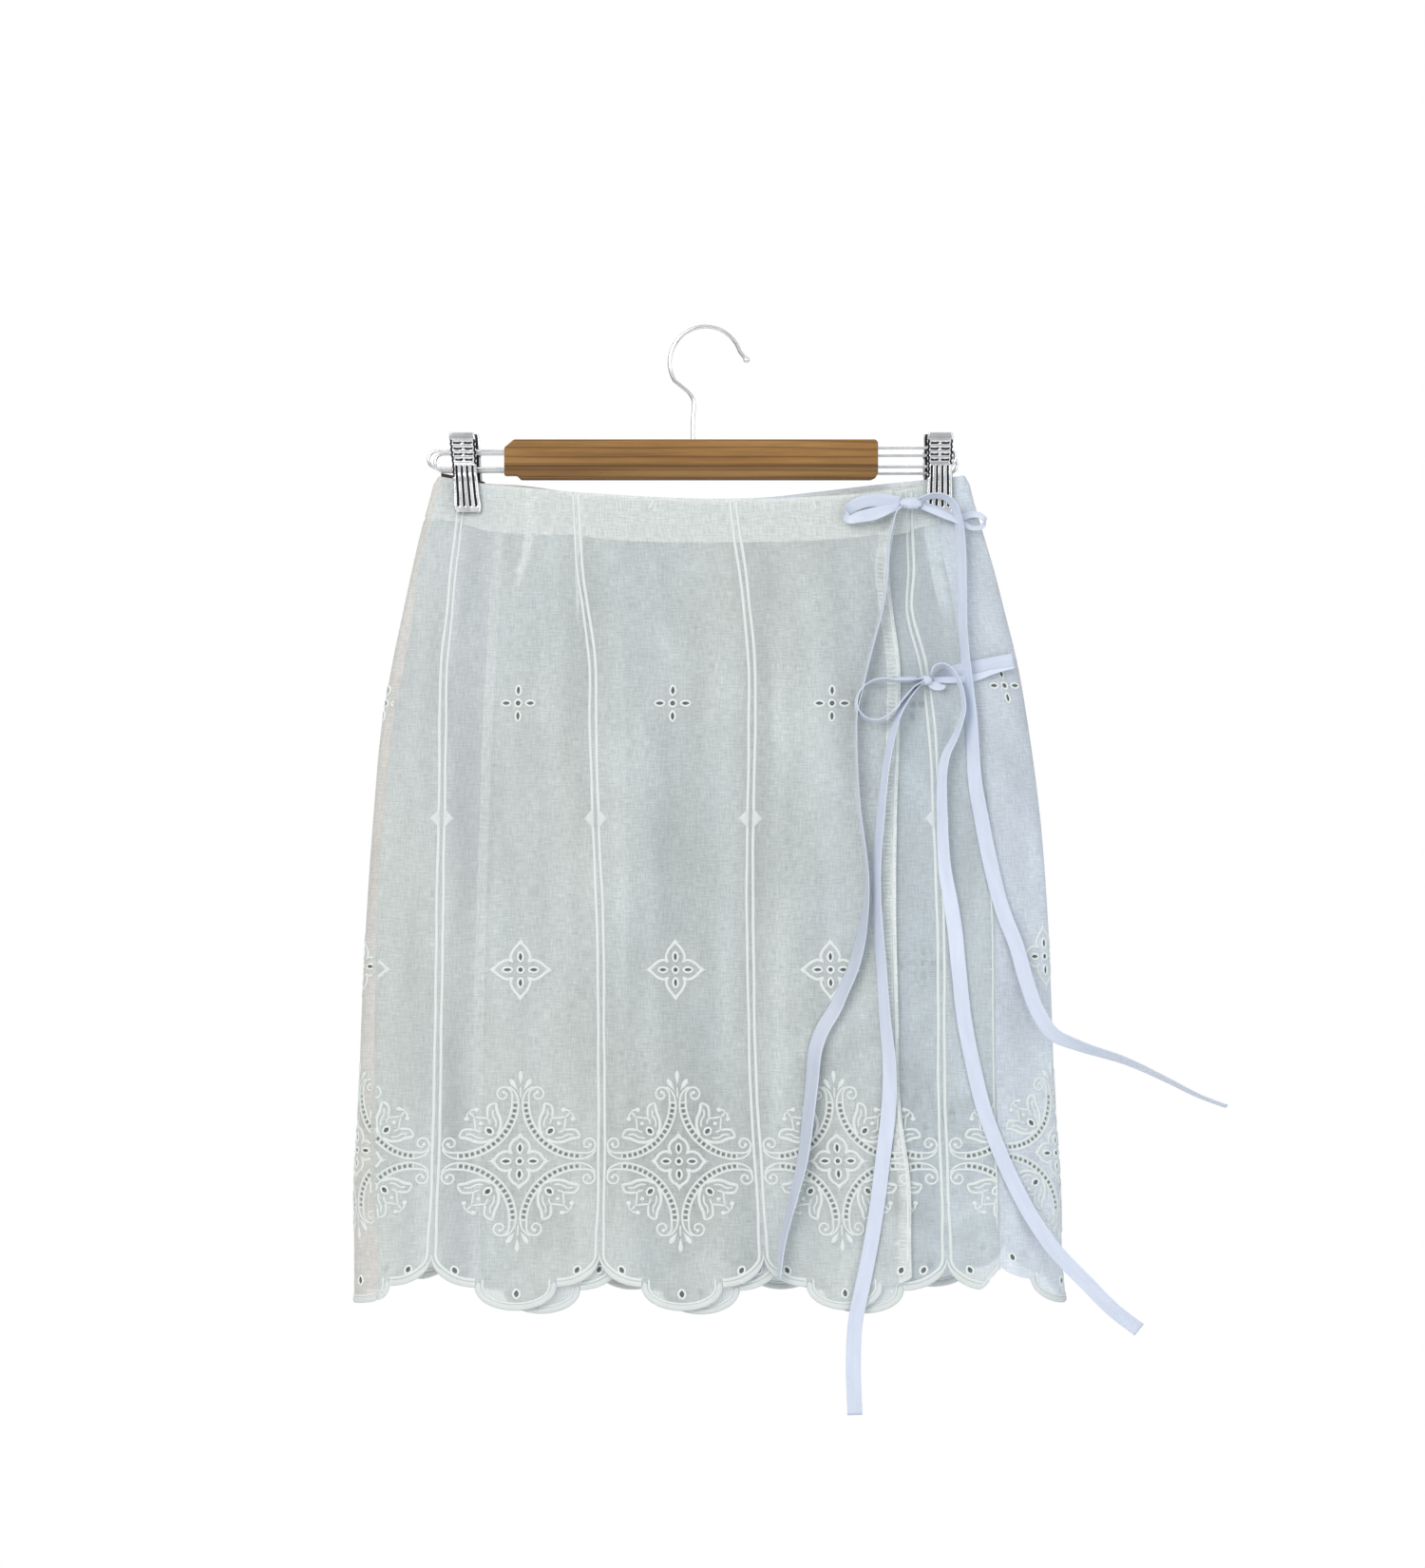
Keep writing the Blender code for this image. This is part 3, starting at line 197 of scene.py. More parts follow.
# The ring of cloth at each height: the turn runs from the left side (0) over the front to the right side
# (pi), and over the back to it as (-pi)
def folds(rows, x, z):
    total = np.zeros_like(x)
    for middle, half, height, start in rows:
        growth = smooth((start - z) / (start - HEM_TIP))
        total = total + height * growth * np.exp(-(((x - middle) / half) ** 2))
    return total


# Where the clips press the cloth together: both middles, half width, how flat, and where it starts and ends
GRIP_LEFT, GRIP_RIGHT, GRIP_HALF, GRIP = -159, 158, 26.0, 0.86
GRIP_FOOT, GRIP_FULL = -190.0, -130.0


def pinch(x, z):
    near = sum(np.exp(-(((x - middle) / GRIP_HALF) ** 2)) for middle in (GRIP_LEFT, GRIP_RIGHT))
    return 1.0 - GRIP * smooth((z - GRIP_FOOT) / (GRIP_FULL - GRIP_FOOT)) * near


def ripple(x, z):
    """Shallow waves where the thin cloth hangs, the same in every layer."""
    fade = smooth((-112.0 - z) / 60.0)
    tall = np.sin(x / 9.3 + 0.9 * np.sin(z / 71.0)) * np.sin(x / 31.0 + z / 190.0 + 1.3)
    wide = np.sin(x / 17.0 - z / 95.0 + 2.0) * np.sin(z / 58.0 + x / 66.0)
    return fade * (0.30 * tall + 0.38 * wide)


def ring(turn, z):
    left, right = sides(z)
    cosine = np.cos(turn)
    x = (left + right) / 2 - cosine * (right - left) / 2
    fold = np.where(turn > 0, folds(FRONT_FOLDS, x, z), folds(BACK_FOLDS, x, z))
    depth = line("depth", z) * pinch(x, z) + fold + ripple(x, z)
    y = -depth * np.sin(turn) * np.sqrt(1 + cosine**2 + cosine**4)
    return np.stack([x, y, z + 0.0 * x], -1)


def place(turn, z, out):
    """Points of the cloth, moved out from the ring by so many mm."""
    turn, z = np.broadcast_arrays(np.asarray(turn, float), np.asarray(z, float))
    eps = 0.004
    along = ring(turn + eps, z) - ring(turn - eps, z)
    up = ring(turn, z + 0.5) - ring(turn, z - 0.5)
    normal = unit(np.cross(along, up))
    return ring(turn, z) + normal * np.asarray(out, float)[..., None]


def front_turn(x, z):
    left, right = sides(z)
    return np.arccos(np.clip((left + right - 2 * x) / (right - left), -1, 1))


def flat_level(value):
    return lambda x, z: np.full_like(x, value)


def lapped_level(low, high):
    """Starts level with the back panel at the left seam and rises over the layer below."""
    return lambda x, z: low + (high - low) * smooth((x - line("left_seam", z)) / 26.0)


def pick(table, index):
    return np.take_along_axis(table, index[:, None], 1)[:, 0]


# Each panel gives its side edges and the way from cloth repeats to the turn of the ring
class FrontPanel:
    def __init__(self, stops, left, right, level, top_drop, hem_drop):
        self.stops, self.left, self.right, self.level = stops, left, right, level
        self.top_drop, self.hem_drop = top_drop, hem_drop
        self.top = FRONT_TOP

    def marks(self, z):
        inner = np.stack([line(name, z) for name in self.stops], -1)
        return np.concatenate([inner[:, :1] - PITCH, inner, inner[:, -1:] + PITCH], -1)

    def turn(self, repeat, z):
        marks = self.marks(z)
        along = np.clip(repeat + 1, 0, marks.shape[1] - 1.0001)
        i = along.astype(int)
        low, high = pick(marks, i), pick(marks, i + 1)
        return front_turn(low + (high - low) * (along - i), z)

    def repeat_at(self, x, z):
        marks = self.marks(z)
        i = np.clip((marks <= x[:, None]).sum(1) - 1, 0, marks.shape[1] - 2)
        low, high = pick(marks, i), pick(marks, i + 1)
        return i - 1 + (x - low) / (high - low)

    def edges(self, z):
        return self.repeat_at(line(self.left, z), z), self.repeat_at(line(self.right, z), z)

    def lift(self, repeat, z):
        return np.zeros_like(z)


class BackPanel:
    ROWS = np.arange(SKIRT_FOOT - 2, SKIRT_TOP + 4, 3.0)
    SHARES = 260
    # How far the hem is drawn up along the back: repeat, rise
    RISE = ((0.3, 7.0), (0.55, 6.0), (0.8, -3.0), (1.02, -4.0), (1.3, 11.0), (2.0, 11.0), (4.0, 11.0),
            (4.75, 11.0), (5.1, 0.0), (6.0, 0.0))
    # How far the last repeat is drawn up at the right seam: height, lift
    LIFT = ((-130, 0.0), (-250, 12.0), (-430, 9.0), (-560, 6.0), (-620, 8.0), (-665, 9.5))

    def __init__(self, level, top_drop, hem_drop):
        self.level, self.top_drop, self.hem_drop = level, top_drop, hem_drop
        self.top = BACK_TOP
        self.table = np.array([self.route(z) for z in self.ROWS])

    def route(self, z):
        """Turns at even steps along the cloth, from the left seam round the back to the right seam."""
        start = float(front_turn(line("left_seam", z), z))
        end = float(front_turn(line("right_seam", z), z)) - 2 * math.pi
        turns = np.linspace(start, end, 400)
        wrapped = np.where(turns < -math.pi, turns + 2 * math.pi, turns)
        points = ring(wrapped, np.full_like(turns, z))
        along = distance_along(points)
        return np.interp(np.linspace(0, along[-1], self.SHARES), along, turns)

    def edges(self, z):
        return 0.5 - through(LEFT_SHARE, z), 0.5 + BACK_REPEATS + through(RIGHT_SHARE, z)

    def lift(self, repeat, z):
        """The last repeat is drawn up at its seam, and the hem a little all along the back."""
        return (through(self.LIFT, z) * smooth((repeat - 4.75) / 0.35)
                + through(self.RISE, repeat) * smooth((-340 - z) / 300))

    def fold_points(self):
        """Extra corners beside the two side folds, where the cloth turns tightest."""
        points = []
        for z in np.arange(-106.0, SIDE_FOOT, -GRID):
            shares = self.table[int(round((z - self.ROWS[0]) / 3.0))]
            low, high = (float(e) for e in self.edges(z))
            for turn in (0.0, -math.pi):
                share = np.interp(-turn, -shares, np.linspace(0, 1, self.SHARES))
                middle = (low + (high - low) * share) * PITCH
                points += [(middle + away, z) for away in FOLD_SIDES]
        return np.array(points)

    def turn(self, repeat, z):
        low, high = self.edges(z)
        across = np.clip((repeat - low) / (high - low), 0, 1) * (self.SHARES - 1.0001)
        down = np.clip((z - self.ROWS[0]) / 3.0, 0, len(self.ROWS) - 1.0001)
        i, j = down.astype(int), across.astype(int)
        s, t = down - i, across - j
        table = self.table
        near = table[i, j] * (1 - t) + table[i, j + 1] * t
        far = table[i + 1, j] * (1 - t) + table[i + 1, j + 1] * t
        turn = near * (1 - s) + far * s
        return np.where(turn < -math.pi, turn + 2 * math.pi, turn)


def hem(repeat):
    """The scalloped hem: a middle lobe with a shoulder on each side."""
    away = np.abs(repeat - np.floor(repeat) - 0.5) * PITCH
    lobe = HEM_SHOULDER + (HEM_TIP - HEM_SHOULDER) * np.sqrt(np.clip(1 - (away / LOBE) ** 2, 0, 1))
    share = np.clip((away - LOBE) / (PITCH / 2 - LOBE), 0, 1)
    side = HEM_NOTCH + (HEM_SHOULDER - HEM_NOTCH) * np.sqrt(np.clip(1 - share**2, 0, 1))
    return np.where(away <= LOBE, lobe, side)


LAST_LOBE, LAST_RISE = 2.2, 12.5  # where the lower panel's last lobe starts, and how far it is drawn up


def hem_line(panel, repeat):
    """The panel's own hem; the lower panel's last lobe is drawn up to the seam."""
    height = hem(repeat) - panel.hem_drop
    if panel is UNDER:
        drawn = HEM_SHOULDER + 0.6 - panel.hem_drop + LAST_RISE * smooth((repeat - LAST_LOBE) / 0.13)
        height = np.where(repeat > LAST_LOBE, drawn, height)
    return height


def ends_at(panel, z):
    """Where the panel's edges lie at one height, in repeats."""
    return [float(end[0]) for end in panel.edges(np.array([z]))]


def top_height(panel, repeat):
    z = np.full_like(repeat, -105.0)
    for _ in range(12):
        turn = panel.turn(repeat, z)
        x = ring(turn, z)[:, 0]
        height = np.where(turn < 0, through(panel.top, x), through(FRONT_TOP, x))
        z = height - panel.top_drop
    return z


def on_cloth(panel, repeat, z, above):
    """Points at flat places of the panel, so many mm in front of its sheet."""
    turn = panel.turn(repeat, z)
    z = z + panel.lift(repeat, z)
    x = ring(turn, z)[:, 0]
    return place(turn, z, panel.level(x, z) + SHEET_IN_WALL + above)


# Materials
class Nodes:
    """Short ways to add and join shader nodes. A source is a node and the name of its output."""

    def __init__(self, owner):
        self.owner = owner
        owner.use_nodes = True
        self.tree = owner.node_tree
        self.shader = self.tree.nodes.get("Principled BSDF")

    def feed(self, node, entry, item):
        """A node's input takes a source, a colour or a number."""
        socket = node.inputs[entry]
        if isinstance(item, tuple) and hasattr(item[0], "outputs"):
            self.tree.links.new(item[0].outputs[item[1]], socket)
        elif socket.type == "RGBA":
            socket.default_value = (*item, 1.0)
        else:
            socket.default_value = item

    def add(self, kind, entries, **settings):
        node = self.tree.nodes.new("ShaderNode" + kind)
        for key, value in settings.items():
            setattr(node, key, value)
        for entry, item in entries.items():
            self.feed(node, entry, item)
        return node

    def where(self, scale, layer=None, turn=0.0):
        """Texture coordinates, stretched by a scale: a flat map's, or the object's own."""
        if layer:
            source = (self.add("UVMap", {}, uv_map=layer), "UV")
        else:
            source = (self.add("TexCoord", {}), "Object")
        entries = {"Vector": source, "Scale": scale, "Rotation": (0.0, 0.0, turn)}
        return self.add("Mapping", entries), "Vector"

    def own(self, name, output="Fac"):
        return self.add("Attribute", {}, attribute_name=name), output

    def noise(self, place_on, detail=3.0, roughness=0.55):
        entries = {"Vector": place_on, "Scale": 1.0, "Detail": detail, "Roughness": roughness}
        return self.add("TexNoise", entries), "Fac"

    def wave(self, place_on, direction, scale, distortion, detail=2.0):
        entries = {"Vector": place_on, "Scale": scale, "Distortion": distortion, "Detail": detail}
        return self.add("TexWave", entries, wave_type="BANDS", bands_direction=direction), "Fac"

    def ramp(self, source, stops):
        """Colours by places along a source; a lone number is a grey."""
        node = self.add("ValToRGB", {"Fac": source})
        while len(node.color_ramp.elements) < len(stops):
            node.color_ramp.elements.new(0.5)
        for element, (at, colour) in zip(node.color_ramp.elements, stops):
            element.position = at
            element.color = (*((colour,) * 3 if isinstance(colour, float) else colour), 1.0)
        return node, "Color"

    def span(self, source, low, high, to_low, to_high):
        entries = {"Value": source, "From Min": low, "From Max": high, "To Min": to_low, "To Max": to_high}
        return self.add("MapRange", entries), "Result"

    def maths(self, first, second, operation="ADD"):
        return self.add("Math", {0: first, 1: second}, operation=operation), "Value"

    def blend(self, share, first, second, kind="MIX"):
        return self.add("Mix", {0: share, 6: first, 7: second}, data_type="RGBA", blend_type=kind), 2

    def toned(self, colour, *tones):
        for tone in tones:
            colour = self.blend(1.0, colour, tone, "MULTIPLY")
        return colour

    def bump(self, source, strength, distance):
        node = self.add("Bump", {"Strength": strength, "Distance": distance, "Height": source})
        self.feed(self.shader, "Normal", (node, "Normal"))

    def mix(self, share, first, second):
        return self.add("MixShader", {0: share, 1: first, 2: second}), "Shader"

    def glowing(self, colour, share):
        """The surface, with a share of the light that comes through from behind."""
        glow = self.add("BsdfTranslucent", {"Color": colour})
        return self.mix(share, (self.shader, "BSDF"), (glow, "BSDF"))

    def finish(self, entries, surface=None):
        for entry, item in entries.items():
            self.feed(self.shader, entry, item)
        if surface:
            self.feed(self.tree.nodes["Material Output"], "Surface", surface)
        return self.owner


def cotton_material(name, thin, thick, opacity, thick_opacity, glow_share):
    """Sheer plain-woven cotton, whiter and denser where the attribute called dense says so, with painted
    light and shade of soft vertical folds. Its tint attribute carries each panel's painted light and shade.
    """
    nodes = Nodes(bpy.data.materials.new(name))
    fine = nodes.where((1.0, 1.0, 1.0), "flat")
    threads = nodes.maths(*(nodes.wave(fine, way, 620.0, 1.4, 1.0) for way in ("X", "Y")), "MULTIPLY")
    warp = nodes.noise(nodes.where((1000.0, 120.0, 1.0), "flat"), 4.0, 0.65)
    weft = nodes.noise(nodes.where((120.0, 1000.0, 1.0), "flat"), 4.0, 0.65)
    slubs = nodes.maths(warp, weft)
    dense = nodes.own("dense")
    cloud = nodes.noise(nodes.where((9.0, 3.0, 1.0), "flat"), 2.0)
    cool = tuple(c * k for c, k in zip(thin, (0.99, 0.998, 1.025)))
    warm = tuple(c * k for c, k in zip(thin, (1.0, 1.0, 0.985)))
    # Long soft streaks down the cloth: painted light and shade of soft vertical folds.
    fold_shade = nodes.noise(nodes.where((34.0, 5.0, 1.0), "flat"), 3.0, 0.6)
    blot = nodes.noise(nodes.where((11.0, 8.0, 1.0), "flat", 0.6), 4.0, 0.6)
    tint = nodes.toned(nodes.ramp(cloud, ((0.36, warm), (0.64, cool))),
                       nodes.span(fold_shade, 0.32, 0.68, 0.90, 1.09), nodes.span(blot, 0.3, 0.7, 0.93, 1.07))
    coloured = nodes.toned(nodes.blend(dense, tint, thick), nodes.span(slubs, 0.72, 1.28, 0.83, 1.14),
                           nodes.own("tint", "Color"))
    nodes.bump(nodes.maths(threads, slubs), 0.35, 0.00025)
    cover = nodes.maths(nodes.span(dense, 0.0, 1.0, opacity, thick_opacity),
                        nodes.span(slubs, 0.75, 1.25, -0.05, 0.05))
    clear = nodes.add("BsdfTransparent", {})
    surface = nodes.mix(cover, (clear, "BSDF"), nodes.glowing(coloured, glow_share))
    return nodes.finish({"Base Color": coloured, "Roughness": 0.86, "Specular IOR Level": 0.25,
                         "Sheen Weight": 0.12}, surface)


def satin_stitch_material(name, colour):
    """Close parallel threads across each stitched band."""
    nodes = Nodes(bpy.data.materials.new(name))
    wave = nodes.wave(nodes.where((1.0, 1.0, 1.0), "thread"), "X", 900.0, 0.6)
    coloured = nodes.toned(colour, nodes.span(wave, 0.0, 1.0, 0.90, 1.04), nodes.own("tone"))
    nodes.bump(wave, 0.4, 0.0002)
    return nodes.finish({"Base Color": coloured, "Roughness": 0.55, "Sheen Weight": 0.2},
                        nodes.glowing(coloured, 0.32))


def shade_material(name, colour):
    """The shaded depth seen through an eyelet."""
    nodes = Nodes(bpy.data.materials.new(name))
    mottle = nodes.noise(nodes.where((700.0, 700.0, 700.0)), 2.0)
    coloured = nodes.toned(colour, nodes.span(mottle, 0.3, 0.7, 0.6, 1.4), nodes.own("tone"))
    return nodes.finish({"Base Color": coloured, "Roughness": 0.9})


def ribbon_material(name, colour):
    """Narrow woven ribbon with fine ribs along its length; its tone attribute carries painted light and
    shade.
    """
    nodes = Nodes(bpy.data.materials.new(name))
    wave = nodes.wave(nodes.where((1.0, 1.0, 1.0), "flat"), "Y", 700.0, 0.5)
    soft = nodes.noise(nodes.where((40.0, 220.0, 1.0), "flat"))
    coloured = nodes.toned(colour, nodes.span(soft, 0.3, 0.7, 0.95, 1.04), nodes.own("tone"))
    nodes.bump(wave, 0.25, 0.0001)
    return nodes.finish({"Base Color": coloured, "Roughness": 0.42, "Sheen Weight": 0.25})


# Painted shade down the wooden bar, from its rounded lower edge up: place, tone. The lower bead and the
# groove above it are darkened.
BAR_SHADE_TONES = ((0.0, 0.45), (0.35, 0.86), (0.62, 0.66), (0.72, 0.40), (0.82, 1.0))


def wood_material(name):
    """Varnished wood, its straight grain along the bar, with painted shade on its lower bead and in its
    groove.
    """
    nodes = Nodes(bpy.data.materials.new(name))
    rings = nodes.noise(nodes.where((5.0, 60.0, 70.0)), 5.0, 0.6)
    fibre = nodes.noise(nodes.where((30.0, 900.0, 1400.0)), 3.0, 0.6)
    grain = nodes.ramp(rings, ((0.30, (0.150, 0.066, 0.014)), (0.47, (0.235, 0.115, 0.028)),
                               (0.62, (0.285, 0.150, 0.045)), (0.78, (0.185, 0.085, 0.020))))
    veins = nodes.wave(nodes.where((3.5, 30.0, 62.0)), "Z", 1.0, 5.0)
    vein = nodes.ramp(veins, ((0.0, (0.62, 0.55, 0.50)), (0.16, 1.0), (1.0, 1.04)))
    axes = nodes.add("SeparateXYZ", {0: (nodes.add("TexCoord", {}), "Object")})
    bead_shade = nodes.ramp(nodes.span((axes, "Z"), -0.103, -0.089, 0.0, 1.0), BAR_SHADE_TONES)
    coloured = nodes.toned(grain, nodes.span(fibre, 0.3, 0.7, 0.86, 1.10), vein, bead_shade)
    nodes.bump(fibre, 0.15, 0.0003)
    return nodes.finish({"Base Color": coloured, "Roughness": 0.5, "Specular IOR Level": 0.3,
                         "Coat Weight": 0.08})


def metal_material(name, colour, roughness):
    """Bright plating with faint rubbed marks."""
    nodes = Nodes(bpy.data.materials.new(name))
    marks = nodes.noise(nodes.where((150.0, 150.0, 60.0)), 2.0)
    gloss = nodes.span(marks, 0.3, 0.7, roughness * 0.75, roughness * 1.4)
    coloured = nodes.toned(colour, nodes.span(marks, 0.3, 0.7, 0.93, 1.05))
    nodes.bump(marks, 0.02, 0.0002)
    return nodes.finish({"Base Color": coloured, "Roughness": gloss, "Metallic": 1.0})


def mottled_material(name, scale, detail, dark, light, roughness, nap=0.0):
    nodes = Nodes(bpy.data.materials.new(name))
    mottle = nodes.noise(nodes.where((scale,) * 3), detail)
    if nap:
        nodes.bump(mottle, nap, 0.0004)
    coloured = nodes.ramp(mottle, ((0.3, dark), (0.7, light)))
    return nodes.finish({"Base Color": coloured, "Roughness": roughness})


COTTON = cotton_material("cotton", (0.618, 0.655, 0.638), (0.725, 0.76, 0.74), 0.77, 0.94, 0.24)
BACK_COTTON = cotton_material("back_cotton", (0.66, 0.66, 0.635), (0.74, 0.755, 0.73), 0.84, 0.94, 0.16)
STITCHES = satin_stitch_material("satin_stitch", (0.89, 0.93, 0.915))
EYELET_SHADE = shade_material("eyelet_shade", (0.15, 0.155, 0.145))
RIBBON_CLOTH = ribbon_material("ribbon_cloth", (0.53, 0.58, 0.68))
WOOD = wood_material("varnished_wood")
STEEL = metal_material("bright_steel", (0.78, 0.78, 0.79), 0.20)
# Near-black steel laid in the clips' slots and grooves and over their inner sides as painted shade.
SHADED_STEEL = metal_material("painted_shade_steel", (0.035, 0.035, 0.04), 0.6)
PAD = mottled_material("dark_pad", 1500.0, 3.0, (0.050, 0.028, 0.030), (0.125, 0.070, 0.076), 0.95, 0.5)


# Meshes
def add_object(name, data):
    obj = bpy.data.objects.new(name, data)
    bpy.context.scene.collection.objects.link(obj)
    return obj


def make_object(name, material, points, faces, uv_name=None, uv=None, dense=None, tint=1.0, tone=1.0):
    """A smooth mesh from points in mm, with a flat map, how dense the cloth is and its tones; the tint and
    tone attributes carry painted light and shade as well as colour.
    """
    mesh = bpy.data.meshes.new(name)
    mesh.from_pydata((np.asarray(points, float) * MM).tolist(), [], faces)
    mesh.polygons.foreach_set("use_smooth", [True] * len(mesh.polygons))
    if uv is not None:
        layer = mesh.uv_layers.new(name=uv_name)
        corners = np.empty(len(mesh.loops), int)
        mesh.loops.foreach_get("vertex_index", corners)
        layer.data.foreach_set("uv", (np.asarray(uv, float) * MM)[corners].ravel())
    if dense is not None:
        layer = mesh.attributes.new("dense", "FLOAT", "POINT")
        layer.data.foreach_set("value", np.asarray(dense, float))
        colours = np.ones((len(points), 4))
        colours[:, :3] = tint
        layer = mesh.attributes.new("tint", "FLOAT_COLOR", "POINT")
        layer.data.foreach_set("color", colours.ravel())
    else:
        layer = mesh.attributes.new("tone", "FLOAT", "POINT")
        layer.data.foreach_set("value", np.broadcast_to(np.asarray(tone, float), len(points)).copy())
    mesh.materials.append(material)
    return add_object(name, mesh)


def write_back(work, mesh):
    """Faces turned outward, and the mesh written."""
    bmesh.ops.recalc_face_normals(work, faces=work.faces)
    work.to_mesh(mesh)
    work.free()


def settle(obj, slot, *nodes):
    """The piece rides on the body, stands for CAD nodes and does not use its slot."""
    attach(obj, "root")
    if nodes:
        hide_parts(*nodes)
    return obj


# Cutwork in flat mm, from the middle of a repeat
def turned(points, degrees):
    a = math.radians(degrees)
    spin = np.array([[math.cos(a), math.sin(a)], [-math.sin(a), math.cos(a)]])
    return np.asarray(points, float) @ spin


def eyelet_loop(across, height, half_long, half_wide, turn, grow=0.0, count=12):
    """A round or pointed eyelet's edge, grown by so many mm."""
    a = np.arange(count) * 2 * math.pi / count
    pointed = 0.0 if half_long == half_wide else 0.35
    wide = np.sin(a) * np.abs(np.sin(a)) ** pointed
    loop = np.stack([(half_long + grow) * np.cos(a), (half_wide + grow) * wide], -1)
    return turned(loop, turn) + [across, height]


def arc_holes():
    """Centres of the small holes of one medallion."""
    angles = np.radians(np.linspace(ARC_START, ARC_END, ARC_HOLES))
    quarter = ARC_CENTRE + ARC_RADIUS * np.stack([np.cos(angles), np.sin(angles)], -1)
    return np.concatenate([quarter * [sx, sz] for sx in (1, -1) for sz in (1, -1)]) + [0, MEDALLION_Z]


def eyelet_loops():
    """Every hole of one repeat."""
    loops = [eyelet_loop(*row) for row in EYELETS]
    loops += [eyelet_loop(x, z, ARC_HOLE, ARC_HOLE, 0, count=6) for x, z in arc_holes()]
    return loops


def resample(path, step, closed=False):
    path = np.asarray(path, float)
    if closed:
        path = np.concatenate([path, path[:1]])
    along = distance_along(path)
    count = max(3, round(along[-1] / step))
    want = np.linspace(0, along[-1], count + 1)
    points = np.stack([np.interp(want, along, path[:, c]) for c in (0, 1)], -1)
    return (points[:-1], want[:-1]) if closed else (points, want)


def rounded(points, per_span=6):
    """A smooth curve through the points."""
    points = np.asarray(points, float)
    chord = distance_along(points)
    want = np.linspace(0, chord[-1], per_span * (len(points) - 1) + 1)
    return np.stack([through(tuple(zip(chord, points[:, c])), want) for c in (0, 1)], -1)


SHADE_DEPTH = 0.9

# Round a band, over the cloth and under it: side, height
BAND = ((-1.0, 0.0), (-0.68, 0.66), (0.0, 1.0), (0.68, 0.66), (1.0, 0.0), (0.6, -0.7), (-0.6, -0.7))


class Stitching:
    """Raised satin stitch: flat place, height above the cloth, and place along and across the threads."""

    def __init__(self):
        self.parts, self.count = [], 0

    def add(self, points, faces, uv, tone=1.0, shade=False):
        tones = np.broadcast_to(np.asarray(tone, float), len(points))
        self.parts.append((points, np.asarray(faces) + self.count, uv, tones, np.full(len(faces), shade)))
        self.count += len(points)

    def shaded(self, loop, tone=1.0):
        """The dark depth behind an eyelet, as a fan of four-sided faces across its loop."""
        count = len(loop)
        faces = [(k, k + 1, count - k - 2, count - k - 1) for k in range(count // 2 - 1)]
        points = np.concatenate([loop, np.full((count, 1), -SHADE_DEPTH)], -1)
        self.add(points, faces, loop, tone, True)

    def band(self, path, width, rise=0.55, closed=False, taper=True, step=STITCH, tone=1.0):
        path, along = resample(path, step, closed)
        if closed:
            tangent = np.roll(path, -1, 0) - np.roll(path, 1, 0)
        else:
            tangent = np.gradient(path, axis=0)
        tangent /= np.linalg.norm(tangent, axis=1, keepdims=True) + 1e-9
        side = np.stack([-tangent[:, 1], tangent[:, 0]], -1)
        share = along / max(along[-1], 1e-6)
        wide = width(share) if callable(width) else np.full(len(path), float(width))
        if taper and not closed:
            wide = wide * np.minimum(1.0, 0.25 + 0.75 * np.minimum(along, along[-1] - along) / (step * 0.9))
        count, rows = len(path), len(BAND)
        offset = np.array([b[0] for b in BAND])
        high = np.array([b[1] for b in BAND])
        flat = path[:, None, :] + side[:, None, :] * (offset[None, :, None] * wide[:, None, None] / 2)
        lift = np.tile(high * rise, (count, 1))
        points = np.concatenate([flat, lift[..., None]], -1).reshape(-1, 3)
        uv = np.stack([np.repeat(along, rows), np.tile(offset, count) * wide.repeat(rows) / 2], -1)
        i = np.arange(count if closed else count - 1)[:, None]
        j = np.arange(rows)[None, :]
        near, far = i * rows, (i + 1) % count * rows
        quads = [near + j, far + j, far + (j + 1) % rows, near + (j + 1) % rows]
        self.add(points, np.stack(quads, -1).reshape(-1, 4), uv, tone)

    def merged(self):
        return [np.concatenate(part) for part in zip(*self.parts)]


def drop(stitching, start, end, width, rise=0.6):
    """A filled teardrop, round at its end."""
    def wide(share):
        return width * np.sin(np.pi * np.clip(share, 0.02, 0.98) ** 1.9) ** 0.7

    stitching.band(np.linspace(start, end, 8), wide, rise, step=0.9)


def dot(stitching, x, z, radius, rise=0.6):
    path = np.array([[x - radius, z], [x + radius, z]])
    stitching.band(path, lambda s: 2 * radius * np.sqrt(np.clip(1 - (2 * s - 1) ** 2, 0.02, 1)), rise,
                   taper=False, step=radius / 3)


def quatrefoil(stitching, height, half):
    """Four pointed petals in outline."""
    petal = rounded([(5.0, 4.6), (6.5, 8.2), (4.4, 13.6), (1.2, half - 2.6), (0.0, half)])
    for turn in (0, 90, 180, 270):
        for mirror in (1, -1):
            stitching.band(turned(petal * [mirror, 1], turn) + [0, height], 2.2)
        spike = turned([(0, half - 3.5), (0, half + 2.0)], turn) + [0, height]
        stitching.band(spike, lambda s: 1.8 * (1.0 - 0.75 * s), 0.5)


def curl():
    """The spiral at an arc's end, from the arc inward."""
    share = np.linspace(0, 1, 26)
    angle = np.radians(180 - 440 * share)
    radius = 5.7 - 4.3 * share
    return np.stack([11.2 + radius * np.cos(angle), 44.4 + radius * np.sin(angle)], -1)


# The outer line of an arc runs on past it to the curl
ARC_END_LINE = ((1.4, 39.2), (1.9, 42.2), (3.4, 45.6), (6.2, 48.6), (8.4, 49.6))


